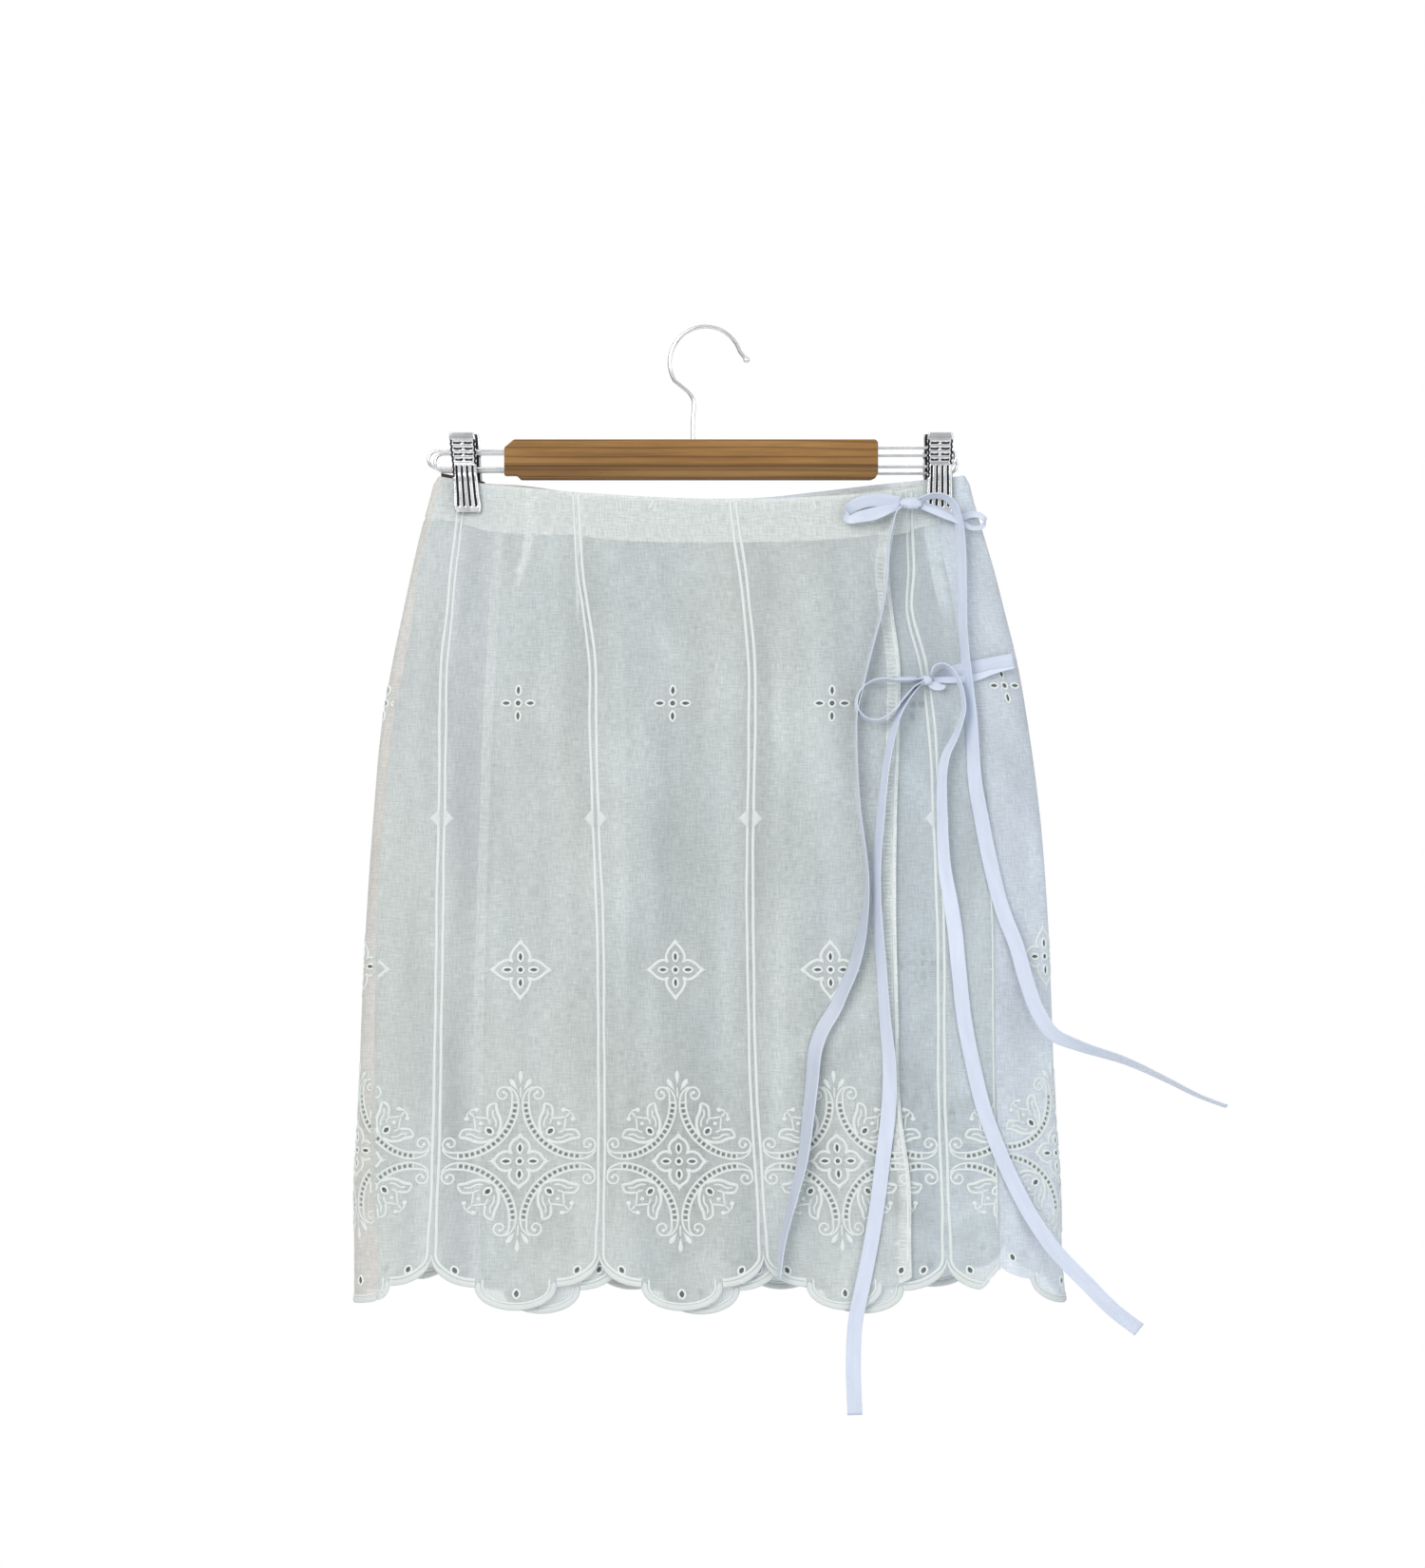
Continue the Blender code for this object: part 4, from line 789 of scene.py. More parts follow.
def medallion(stitching):
    angles = np.radians(np.linspace(ARC_START, ARC_END, 40))
    direction = np.stack([np.cos(angles), np.sin(angles)], -1)
    inner = ARC_CENTRE + (ARC_RADIUS - ARC_SIDE) * direction
    outer = ARC_CENTRE + (ARC_RADIUS + ARC_SIDE) * direction
    spiral = curl()
    end = rounded(ARC_END_LINE, 3)
    outer = np.concatenate([end[::-1], outer, end[:, ::-1]])
    long_line = np.concatenate([spiral[::-1], inner, spiral[:, ::-1]])
    hole_angles = np.radians(np.linspace(ARC_START, ARC_END, ARC_HOLES))
    step = hole_angles[1] - hole_angles[0]
    bar_angles = np.concatenate([hole_angles - step / 2, hole_angles[-1:] + step / 2])
    middle = [0, MEDALLION_Z]
    for sx in (1, -1):
        for sz in (1, -1):
            sign = np.array([sx, sz])
            stitching.band(long_line * sign + middle, 1.6)
            stitching.band(outer * sign + middle, 1.5)
            for x, z in (spiral[-1], spiral[-1][::-1]):
                dot(stitching, x * sx, z * sz + MEDALLION_Z, 1.3)
            for a in bar_angles:
                ends = [ARC_CENTRE + r * np.array([math.cos(a), math.sin(a)])
                        for r in (ARC_RADIUS - ARC_SIDE, ARC_RADIUS + ARC_SIDE)]
                stitching.band(np.array(ends) * sign + middle, 1.2, 0.4, taper=False)
            tulip(stitching, sign)
    for sz in (1, -1):
        drop(stitching, (0, MEDALLION_Z + 50.0 * sz), (0, MEDALLION_Z + 60.5 * sz), 3.4)
        for sx in (1, -1):
            drop(stitching, (1.6 * sx, MEDALLION_Z + 46.5 * sz), (7.0 * sx, MEDALLION_Z + 54.8 * sz), 3.8)
        stitching.band([(0.0, MEDALLION_Z + 42.0 * sz), (0.0, MEDALLION_Z + 50.0 * sz)], 1.2, 0.4)
    quatrefoil(stitching, MEDALLION_Z, 18.5)


# A tulip along its own axis: out from the medallion's middle, and to the side
TULIP_PETAL = ((22.4, 1.6), (24.4, 6.4), (28.6, 10.6), (34.0, 13.0), (38.8, 16.4))
TULIP_PETAL_EDGE = ((38.8, 16.4), (40.2, 11.2), (37.4, 7.6), (34.8, 5.6))
TULIP_INNER = ((26.6, 4.8), (30.2, 8.0), (34.6, 9.4), (37.0, 12.4))
TULIP_CUP = ((30.8, 3.6), (34.6, 5.4), (37.2, 3.4), (41.6, 0.0))
TULIP_ARM = ((46.4, 0.0), (45.8, 2.2), (44.0, 4.4))
# Each line and its width
TULIP = ((TULIP_PETAL, 2.3), (TULIP_PETAL_EDGE, 1.9), (TULIP_INNER, 1.5), (TULIP_CUP, 1.5), (TULIP_ARM, 1.6))


def tulip(stitching, sign):
    def on_diagonal(points):
        out, side = np.asarray(points, float).T
        flat = np.stack([(out - side), (out + side)], -1) * math.sqrt(0.5)
        return flat * sign + [0, MEDALLION_Z]

    for mirror in (1, -1):
        for row, width in TULIP:
            stitching.band(on_diagonal(rounded(np.array(row) * [1, mirror])), width)
            if row is TULIP_CUP:
                dot(stitching, *on_diagonal([(44.0, 4.4 * mirror)])[0], 1.7)
    dot(stitching, *on_diagonal([(35.4, 0.0)])[0], 1.5)
    stitching.band(on_diagonal([(41.0, 0.0), (46.6, 0.0)]), 1.5)


def rims(stitching):
    """The bound rims of the eyelets and the shade behind every hole."""
    for row in EYELETS:
        rim = eyelet_loop(*row, grow=RIM / 2 - RIM_INSIDE, count=20)
        stitching.band(rim, RIM, 0.6, closed=True, step=1.0, tone=RIM_TONE)
        stitching.shaded(eyelet_loop(*row, grow=0.5, count=12))
    for x, z in arc_holes():
        stitching.shaded(eyelet_loop(x, z, ARC_HOLE + 0.3, ARC_HOLE + 0.3, 0, count=6), 1.7)


STRIPE_SIDE, STRIPE_WIDE = 2.1, 2.25
DIAMOND_SLOT, DIAMOND_TIP, DIAMOND_HALF = 1.1, 8.3, 6.0
# Across half a diamond: share of the way out, height
DIAMOND_ACROSS = ((0.0, -0.1), (0.12, 0.6), (0.5, 0.75), (0.88, 0.6), (1.0, -0.1))


def scallop_side(count, inward):
    """A shoulder of the scallop, moved inward: distance from the notch and height."""
    angle = np.radians(np.linspace(90, 0, count))
    reach = PITCH / 2 - LOBE
    x = reach * (1 - np.sin(angle))
    z = HEM_NOTCH + (HEM_SHOULDER - HEM_NOTCH) * np.cos(angle)
    path = np.stack([x, z], -1)
    tangent = unit(np.gradient(path, axis=0))
    return path + np.stack([-tangent[:, 1], tangent[:, 0]], -1) * inward(np.linspace(0, 1, count))[:, None]


def stripe(stitching, side, drop_by):
    """One of the pair of lines between repeats, its half of the diamond and its way on in the scallop."""
    z = np.arange(-98.0, SIDE_FOOT, -4.0)
    wander = 0.18 * np.sin(z / 23.0 + side) + 0.12 * np.sin(z / 9.0)
    upper = np.stack([STRIPE_SIDE + 0.6 * smooth((-590.0 - z) / 24.0) + wander, z], -1)
    inner = scallop_side(26, lambda t: 2.7 + 1.6 * smooth(t * 2)) - [0, drop_by]
    whole = np.concatenate([upper, inner[inner[:, 1] < -614.0]])
    stitching.band(whole * [side, 1], STRIPE_WIDE, 0.6, taper=False, step=2.5)
    edge = scallop_side(26, lambda t: 0.2 + 1.1 * smooth(t * 2)) - [0, drop_by]
    stitching.band(edge * [side, 1], lambda t: 1.0 + 3.1 * smooth(t * 2.2), 0.7, taper=False, tone=0.93)
    share = np.linspace(-1, 1, 15)
    far = DIAMOND_SLOT + 1.6 + (DIAMOND_TIP - DIAMOND_SLOT - 1.6) * (1 - np.abs(share))
    across, high = np.array(DIAMOND_ACROSS).T
    x = DIAMOND_SLOT + (far - DIAMOND_SLOT)[:, None] * across
    z = np.repeat((DIAMOND_Z + share * DIAMOND_HALF)[:, None], len(across), 1)
    points = np.stack([side * x, z, np.tile(high, (len(share), 1))], -1).reshape(-1, 3)
    stitching.add(points, back_to_front(grid_faces(len(share), len(across))), points[:, 1::-1], 0.92)


def hem_border(stitching, drop_by):
    """The satin edge of the middle lobe and the line inside it."""
    angle = np.radians(np.linspace(-90, 90, 34))
    for inward, width, rise, up, tone in ((1.9, 4.2, 0.7, 2.5, 0.93), (4.6, 1.5, 0.6, 5.0, 1.03)):
        x = (LOBE - inward) * np.sin(angle)
        z = HEM_SHOULDER + (HEM_TIP - HEM_SHOULDER + inward) * np.cos(angle)
        lobe = np.stack([x, z], -1)
        ends = [[(-(LOBE - inward), HEM_SHOULDER + up)], [(LOBE - inward, HEM_SHOULDER + up)]]
        path = np.concatenate([ends[0], lobe, ends[1]]) - [0, drop_by]
        stitching.band(path, width, rise, tone=tone)


def repeat_stitching(panel):
    stitching = Stitching()
    rims(stitching)
    quatrefoil(stitching, QUATREFOIL_Z, 20.0)
    medallion(stitching)
    hem_border(stitching, panel.hem_drop)
    return stitching.merged()


def stripe_stitching(panel):
    stitching = Stitching()
    for side in (1, -1):
        stripe(stitching, side, panel.hem_drop)
    return stitching.merged()


PUCKER = 2.9  # spacing of the small puckers down the upper panel's hem
# Bar tacks on the front: x and z of each end
TACKS = ((-34.6, -116.7, -37.2, -122.6), (72.4, -116.4, 74.8, -122.0))


def single_stitching(panel, edge_line):
    """The line down the panel's right edge and its bar tacks, at places counted from the first repeat."""
    stitching = Stitching()
    top_z, foot_z, width, tone = edge_line
    z = np.arange(top_z, foot_z, -3.0)
    right = panel.edges(z)[1] * PITCH - 2.1
    stitching.band(np.stack([right, z], -1), width, 0.45, step=3.0, tone=tone)
    if panel is UNDER:
        marks = np.linspace(LAST_LOBE - 0.03, ends_at(panel, HEM_LEVEL)[1] - 0.014, 14)
        stitching.band(np.stack([marks * PITCH, hem_line(panel, marks) + 1.5], -1), 3.0, 0.6, tone=0.95)
    if panel is OVER:
        # Each pucker is a short low band toned darker: painted shade in the puckers' folds.
        for z in np.arange(top_z - 22.0, -628.0, -PUCKER):
            slant = 0.5 * math.sin(z / 7.0)
            near = ends_at(panel, z)[1] * PITCH
            stitching.band([(near - EDGE_HEM + 0.6, z + slant), (near - 3.4, z - slant)], 1.3, 0.16,
                           step=2.0, tone=0.84 + 0.05 * math.sin(z * 1.9))
        for x, z, far_x, far_z in TACKS:
            ends = np.array([[x, z], [far_x, far_z]])
            ends[:, 0] = panel.repeat_at(ends[:, 0], ends[:, 1]) * PITCH
            stitching.band(ends, 2.6, 0.4, tone=0.97)
    return stitching.merged()


def stitching_piece(name, panel, columns, stripes, edge_line=None):
    """All the raised stitching on one panel."""
    parts = []
    count = 0
    motifs = [(columns, 0.5, repeat_stitching(panel)), (stripes, 0.0, stripe_stitching(panel))]
    if edge_line:
        motifs.append(((0,), 0.0, single_stitching(panel, edge_line)))
    for marks, offset, (flat, quads, threads, tones, shades) in motifs:
        for column in marks:
            places = np.stack([column + offset + flat[:, 0] / PITCH, flat[:, 1], flat[:, 2]], -1)
            parts.append((places, quads + count, threads, tones, shades))
            count += len(flat)
    points, faces, uv, tones, shades = (np.concatenate(part) for part in zip(*parts))
    repeat, z, above = points.T
    low, high = panel.edges(z)
    inside = (repeat > low + 0.012) & (repeat < high - 0.012)
    inside &= z > hem_line(panel, repeat) - 1.0
    inside &= z < top_height(panel, repeat) - 1.0
    whole = inside[faces].all(1)
    faces, shades = faces[whole], shades[whole]
    used = np.unique(faces)
    number = np.zeros(count, int)
    number[used] = np.arange(len(used))
    places = on_cloth(panel, repeat[used], z[used], above[used])
    obj = make_object(name, STITCHES, places, number[faces].tolist(), "thread", uv[used], tone=tones[used])
    obj.data.materials.append(EYELET_SHADE)
    obj.data.polygons.foreach_set("material_index", shades.astype(int))
    return obj


# Panels
def panel_border(panel):
    """Corners of the flat panel: down the left edge, along the hem, up the right edge, along the top."""
    side_z = np.arange(-124.0, SIDE_FOOT, -GRID)
    left, right = panel.edges(side_z)
    low, high = ends_at(panel, HEM_LEVEL)
    marks = np.linspace(low + 0.001, high - 0.001, int((high - low) * PITCH / 1.6))
    bottom = np.stack([marks, hem_line(panel, marks)], -1)
    left_keep = side_z > bottom[0, 1] + 3
    right_keep = side_z > bottom[-1, 1] + 3
    count = int((high - low) * PITCH / GRID)
    low, high = ends_at(panel, WAIST_LEVEL)
    marks = np.linspace(low + 0.001, high - 0.001, count)
    top = np.stack([marks, top_height(panel, marks)], -1)
    return np.concatenate([
        np.stack([left, side_z], -1)[left_keep], bottom,
        np.stack([right, side_z], -1)[right_keep][::-1], top[::-1],
    ])


def clear_of(points, centres, reach):
    """The points that lie off every eyelet."""
    keep = np.ones(len(points), bool)
    for centre, radius in zip(centres, reach):
        keep &= (np.abs(points - centre) > radius).any(1)
    return points[keep]


def cloth_sheet(name, material, panel, look, sharp_lines=()):
    """One panel with every eyelet cut through it. Its look is how dense it is and its tint, which holds
    painted light and shade.
    """
    border = panel_border(panel) * [PITCH, 1]
    low, high = border[:, 0].min() / PITCH, border[:, 0].max() / PITCH
    loops = []
    for column in range(math.floor(low), math.ceil(high)):
        for loop in eyelet_loops():
            loop = loop + [(column + 0.5) * PITCH, 0]
            left, right = panel.edges(loop[:, 1])
            if (loop[:, 0] > left * PITCH + 1.5).all() and (loop[:, 0] < right * PITCH - 1.5).all():
                loops.append(loop)
    points = [border]
    rims_of = [list(range(len(border)))]
    count = len(border)
    for loop in loops:
        rims_of.append(list(range(count, count + len(loop))))
        points.append(loop)
        count += len(loop)
    columns = np.arange(low * PITCH, high * PITCH, GRID)
    rows = np.arange(SKIRT_FOOT, SKIRT_TOP, GRID)
    grid = np.stack(np.meshgrid(columns, rows), -1).reshape(-1, 2)
    grid[:, 0] += (np.round(grid[:, 1] / GRID) % 2) * GRID / 2
    left, right = panel.edges(grid[:, 1])
    keep = (grid[:, 0] > left * PITCH + 2.2) & (grid[:, 0] < right * PITCH - 2.2)
    grid = grid[keep]
    repeat = grid[:, 0] / PITCH
    keep = (grid[:, 1] > hem_line(panel, repeat) + 2.0) & (grid[:, 1] < top_height(panel, repeat) - 2.0)
    grid = grid[keep]
    centres = np.array([loop.mean(0) for loop in loops])
    reach = np.array([np.linalg.norm(loop - loop.mean(0), axis=1).max() for loop in loops]) + 0.9
    grid = clear_of(grid, centres, reach)
    if hasattr(panel, "fold_points"):
        creases = panel.fold_points()
        for z in np.unique(creases[:, 1]):
            for middle in creases[creases[:, 1] == z][:, 0].reshape(2, -1).mean(1):
                near = (np.abs(grid[:, 0] - middle) < 6.5) & (np.abs(grid[:, 1] - z) < GRID * 0.6)
                grid = grid[~near]
        points.append(clear_of(creases, centres, reach))
    sharp = sharp_points(panel, sharp_lines)
    left, right = panel.edges(sharp[:, 1])
    top = top_height(panel, sharp[:, 0] / PITCH)
    clear = (sharp[:, 0] > left * PITCH + 1.5) & (sharp[:, 0] < right * PITCH - 1.5)
    clear &= sharp[:, 1] < top - 1.5
    sharp = clear_of(sharp[clear], centres, reach)
    far = np.ones(len(grid), bool)
    for point in sharp:
        far &= np.abs(grid - point).max(1) > 1.5
    points += [grid[far], sharp]
    flat = np.concatenate(points)
    found, _, faces, _, _, inside = geometry.delaunay_2d_cdt(flat.tolist(), [], rims_of, 1, 1e-5, True)
    kept = [tuple(face) for face, rim in zip(faces, inside) if list(rim) == [0]]
    flat = np.array([tuple(p) for p in found])
    repeat, z = flat[:, 0] / PITCH, flat[:, 1]
    places = on_cloth(panel, repeat, z, 0.0)
    amount, tint = look(panel, places[:, 0], z, repeat)
    return make_object(name, material, places, kept, "flat", flat, amount, tint)


# Darts, where the cloth lies double: height, middle and width down each
OVER_DARTS = (
    ((-106, -118.6, 6.4), (-139, -118.2, 6.4), (-163, -123.7, 6.0), (-186, -129.2, 1.4)),
    ((-114, -84.6, 7.0), (-138, -84.6, 6.0), (-152, -85.6, 3.2), (-204, -85.0, 2.2)),
)
UNDER_DARTS = (((-124, 150.2, 10.0), (-150, 154.4, 10.0), (-175, 158.8, 10.0), (-202, 166.0, 8.0)),)
# Depth of the inner hem under the top edge, across the front
FACING_DEPTH = ((-180, 28.5), (-162, 29.0), (-143, 31.5), (-115, 31.0), (-87, 29.0), (-72, 30.5),
                (-40, 30.5), (0, 29.5), (90, 29.0), (140, 28.0), (175, 27.0))
GHOST = 6.4  # the lower panel's hem as it shows through the upper one
HALF_SHARP = 0.35


def dart_line(rows, z, column):
    return through(tuple((row[0], row[column]) for row in rows), z)


def dart_share(darts, x, z):
    total = np.zeros_like(x)
    for rows in darts:
        away = np.abs(x - dart_line(rows, z, 1)) - dart_line(rows, z, 2) / 2
        along = smooth((rows[0][0] + 3 - z) / 6) * smooth((z - rows[-1][0]) / 24)
        total = np.maximum(total, along * smooth(0.5 - away / (2 * HALF_SHARP)))
    return total


def facing_foot(panel, repeat):
    top = top_height(panel, repeat)
    return top - through(FACING_DEPTH, ring(panel.turn(repeat, top), top)[:, 0])


def facing_share(panel, z, repeat):
    return smooth((z - facing_foot(panel, repeat)) / (2 * HALF_SHARP) + 0.5)


def right_of(x, at):
    return smooth((x - at) / (2 * HALF_SHARP) + 0.5)


def soft_band(x, middle, half):
    return np.exp(-(((x - middle) / half) ** 2))


def sharp_points(panel, lines):
    """Pairs of corners along the lines where the cloth's tone changes at once."""
    low, high = ends_at(panel, -140.0)
    marks = np.arange(low, high, GRID / 2 / PITCH)
    foot = facing_foot(panel, marks)
    rows = [np.stack([marks * PITCH, foot + side], -1) for side in (-HALF_SHARP, HALF_SHARP)]
    for where, top_z, foot_z in lines:
        z = np.arange(top_z, foot_z, -GRID * 0.7)
        repeat = panel.repeat_at(where(z), z)
        rows += [np.stack([repeat * PITCH + side, z], -1) for side in (-HALF_SHARP, HALF_SHARP)]
    return np.concatenate(rows)


def dart_edges(darts):
    def side_of(rows, side):
        return lambda z: dart_line(rows, z, 1) + side * dart_line(rows, z, 2) / 2

    return [(side_of(rows, side), rows[0][0], rows[-1][0]) for rows in darts for side in (-1, 1)]


# Painted light and shade of soft creases in the hanging cloth, the creases themselves not modelled: x and z
# of each end, half width and tone
CREASE_SHADES = (
    (66, -482, 122, -441, 7.0, 0.06),
    (74, -500, 118, -470, 6.0, -0.05),
    (60, -440, 100, -402, 8.0, 0.04),
    (128, -468, 152, -452, 5.0, 0.05),
    (132, -590, 158, -604, 6.0, -0.07),
    (128, -604, 156, -618, 5.0, 0.06),
    (164, -512, 196, -496, 6.0, 0.05),
    (162, -528, 198, -514, 5.0, -0.04),
    (160, -598, 196, -584, 5.0, 0.07),
    (166, -612, 200, -600, 5.0, -0.05),
    (134, -300, 150, -318, 7.0, 0.06),
    (158, -246, 168, -262, 6.0, 0.07),
    (84, -300, 112, -330, 9.0, 0.04),
    (-30, -212, 52, -262, 14.0, 0.03),
    (-120, -250, -40, -300, 16.0, 0.025),
    (-150, -560, -96, -600, 10.0, -0.03),
)


CREASE_SHADE_SCALE = 1.4


def crease_shading(x, z):
    """Painted light and shade where the cloth is softly creased."""
    total = np.zeros_like(x)
    for x1, z1, x2, z2, half, tone in CREASE_SHADES:
        run = np.array([x2 - x1, z2 - z1])
        length = np.linalg.norm(run)
        along = ((x - x1) * run[0] + (z - z1) * run[1]) / length
        away = ((z - z1) * run[0] - (x - x1) * run[1]) / length
        past = np.maximum(np.maximum(-along, along - length), 0.0)
        total = total + CREASE_SHADE_SCALE * tone * np.exp(-((away / half) ** 2) - (past / (1.6 * half)) ** 2)
    return total


def over_look(panel, x, z, repeat):
    """The upper panel: painted shade where nothing lies behind it and beside the lower one's edge, painted
    light and shade of the hem's puckers and of soft folds low down; lighter over the lower one's hem and its
    own.
    """
    facing = facing_share(panel, z, repeat)
    dart = dart_share(OVER_DARTS, x, z)
    edge = line("under_edge", z)
    ghost = right_of(x, edge) * (1 - right_of(x, edge + GHOST))
    own = line("over_edge", z)
    strip = right_of(x, own - EDGE_HEM) * smooth((-136 - z) / 4)
    dense = np.maximum.reduce([facing, 0.7 * dart, 0.45 * ghost, 0.8 * strip])
    bare = (1 - right_of(x, edge)) * smooth((x - line("stripe_a", z) + 170) / 2)
    tone = 1 - 0.04 * facing + 0.05 * dart
    # Lighter and darker bands down the hem strip: painted light and shade of its puckers.
    puckers = np.sin(z * 0.537 + 0.9 * np.sin(z / 31.0)) + 0.6 * np.sin(z * 1.31)
    strength = 0.09 + 0.10 * smooth((-225 - z) / 40) - 0.13 * smooth((-440 - z) / 80)
    tone = tone + strip * (strength + 0.045 * puckers)
    for name in ("under_1", "under_2"):
        middle = line(name, z)
        pair = soft_band(x, middle - STRIPE_SIDE, 1.3) + soft_band(x, middle + STRIPE_SIDE, 1.3)
        tone = tone + 0.07 * pair * smooth((-165 - z) / 60)
    tone = tone + crease_shading(x, z)
    low = smooth((-150 - z) / 160)
    # Soft bands darker low on the cloth: painted shade of hanging folds.
    hanging = 0.15 * soft_band(x, -18, 17) + 0.10 * soft_band(x, 31, 9) - 0.03 * soft_band(x, 14, 8)
    tone = tone - low * hanging
    # Painted shade left of the lower panel's edge, and where nothing lies behind the cloth.
    open_left_shade = smooth(1 - np.abs(x - (edge - 12)) / 17) * (1 - right_of(x, edge))
    tone = tone - 0.02 * bare - (1 - facing) * open_left_shade * (0.06 + 0.08 * low)
    cool = bare[:, None] * np.array([-0.012, 0.0, 0.022])
    return dense, tone[:, None] + cool


def under_look(panel, x, z, repeat):
    """The lower panel: cool and shaded beside the upper one's edge."""
    facing = facing_share(panel, z, repeat)
    dart = dart_share(UNDER_DARTS, x, z)
    high = smooth((z + 300) / 120)
    beside = smooth(1 - (x - line("over_edge", z)) / 60)
    tone = 1 - 0.05 * high * beside * (1 - facing) + 0.16 * dart * (1 - facing)
    shade = np.array(UNDER_SHADE) * (1 - facing[:, None]) + np.array(UNDER_TOP_SHADE) * facing[:, None]
    seam = line("right_seam", z)
    allowance = right_of(x, seam - 14) * smooth((-355 - z) / 25)
    fold = soft_band(x, 173.5, 1.6) * smooth((-262 - z) / 16) * smooth((z + 400) / 30)
    tone = tone + crease_shading(x, z) + 0.07 * allowance + 0.05 * fold
    return np.maximum(facing, 0.5 * dart), tone[:, None] * shade


def back_look(panel, x, z, repeat):
    """The back panel: painted warm reflected light round the left side and painted cool light round the
    right, and painted light and shade low by its right side.
    """
    share = smooth((x + 60) / 120)[:, None]
    tint = np.array(WARM_LIGHT_TINT) * (1 - share) + np.array(COOL_LIGHT_TINT) * share
    low = smooth((-300 - z) / 80)
    # Painted light: the cloth is lightened low by the right side.
    lift = 0.12 * low * smooth((x - line("right", z) + 22) / 16)
    # Small ripples of painted light and shade by the right side.
    waves = 0.03 * np.sin(z / 8.5 + x / 5.0) * smooth((x - 150) / 30)
    return 0.6 * facing_share(panel, z, repeat), tint * (1 + lift + waves)[:, None]


UNDER_SHADE, UNDER_TOP_SHADE = (0.85, 0.89, 0.95), (0.98, 1.0, 1.02)
# Painted light colours for the back panel: warm reflected light round the left side, cool light round the
# right.
WARM_LIGHT_TINT, COOL_LIGHT_TINT = (0.94, 0.915, 0.90), (0.90, 0.975, 1.09)


OVER = FrontPanel(("stripe_a", "stripe_b", "stripe_c"), "left_seam", "over_edge",
                  lapped_level(PANEL, PANEL + LAP), 0.0, 0.0)
UNDER = FrontPanel(("under_1", "under_2", "stripe_d"), "under_edge", "right_seam",
                   flat_level(PANEL), 1.2, UNDER_DROP)
BACK = BackPanel(flat_level(PANEL), 0.0, BACK_DROP)


def facing_piece(name, material, level, start_x, end_x, table, side):
    """The wide inner hem at the waist."""
    z = np.full(2, WAIST_LEVEL)
    ends = sorted(side * front_turn(np.array([start_x, end_x]), z))
    turns = np.linspace(ends[0], ends[1], 90)
    rows = []
    for share in np.linspace(0, 1, 8):
        z = np.full_like(turns, -105.0)
        for _ in range(12):
            z = through(table, ring(turns, z)[:, 0]) - 2.0 - share * FACING
        x = ring(turns, z)[:, 0]
        rows.append((place(turns, z, level(x, z) + 0.5), np.stack([x, z], -1)))
    return grid_piece(name, material, rows, 0.8)


def edge_hem_piece(name, material, level, edge, inward, top_z, bottom_z):
    """The turned and stitched hem down a panel's free edge, a little puckered."""
    rows = []
    for z in np.arange(top_z, bottom_z, -2.5):
        at = float(line(edge, z))
        wave = 0.35 * math.sin(z / 4.1) + 0.25 * math.sin(z / 2.3)
        x = at + inward * np.array([0.4, 1.2, 3.4, 5.6, 7.6, EDGE_HEM + wave])
        out = np.array([0.5, 0.7, 0.75, 0.7 + 0.2 * math.sin(z / 3.1), 0.8, 0.6])
        zz = np.full(len(x), z)
        rows.append((place(front_turn(x, zz), zz, level(x, zz) + out), np.stack([x, zz], -1)))
    return grid_piece(name, material, rows, 1.0)


def grid_piece(name, material, rows, dense):
    count, across = len(rows), len(rows[0][0])
    points = np.concatenate([r[0] for r in rows])
    uv = np.concatenate([r[1] for r in rows])
    faces = back_to_front(grid_faces(count, across))
    return make_object(name, material, points, faces.tolist(), "flat", uv, np.full(len(points), dense))


# The stitched line down a panel's right edge: its top, its foot, width, tone
OVER_EDGE_LINE, UNDER_EDGE_LINE = (-138.0, -630.0, 1.3, 1.05), (-366.0, -606.0, 1.2, 1.0)


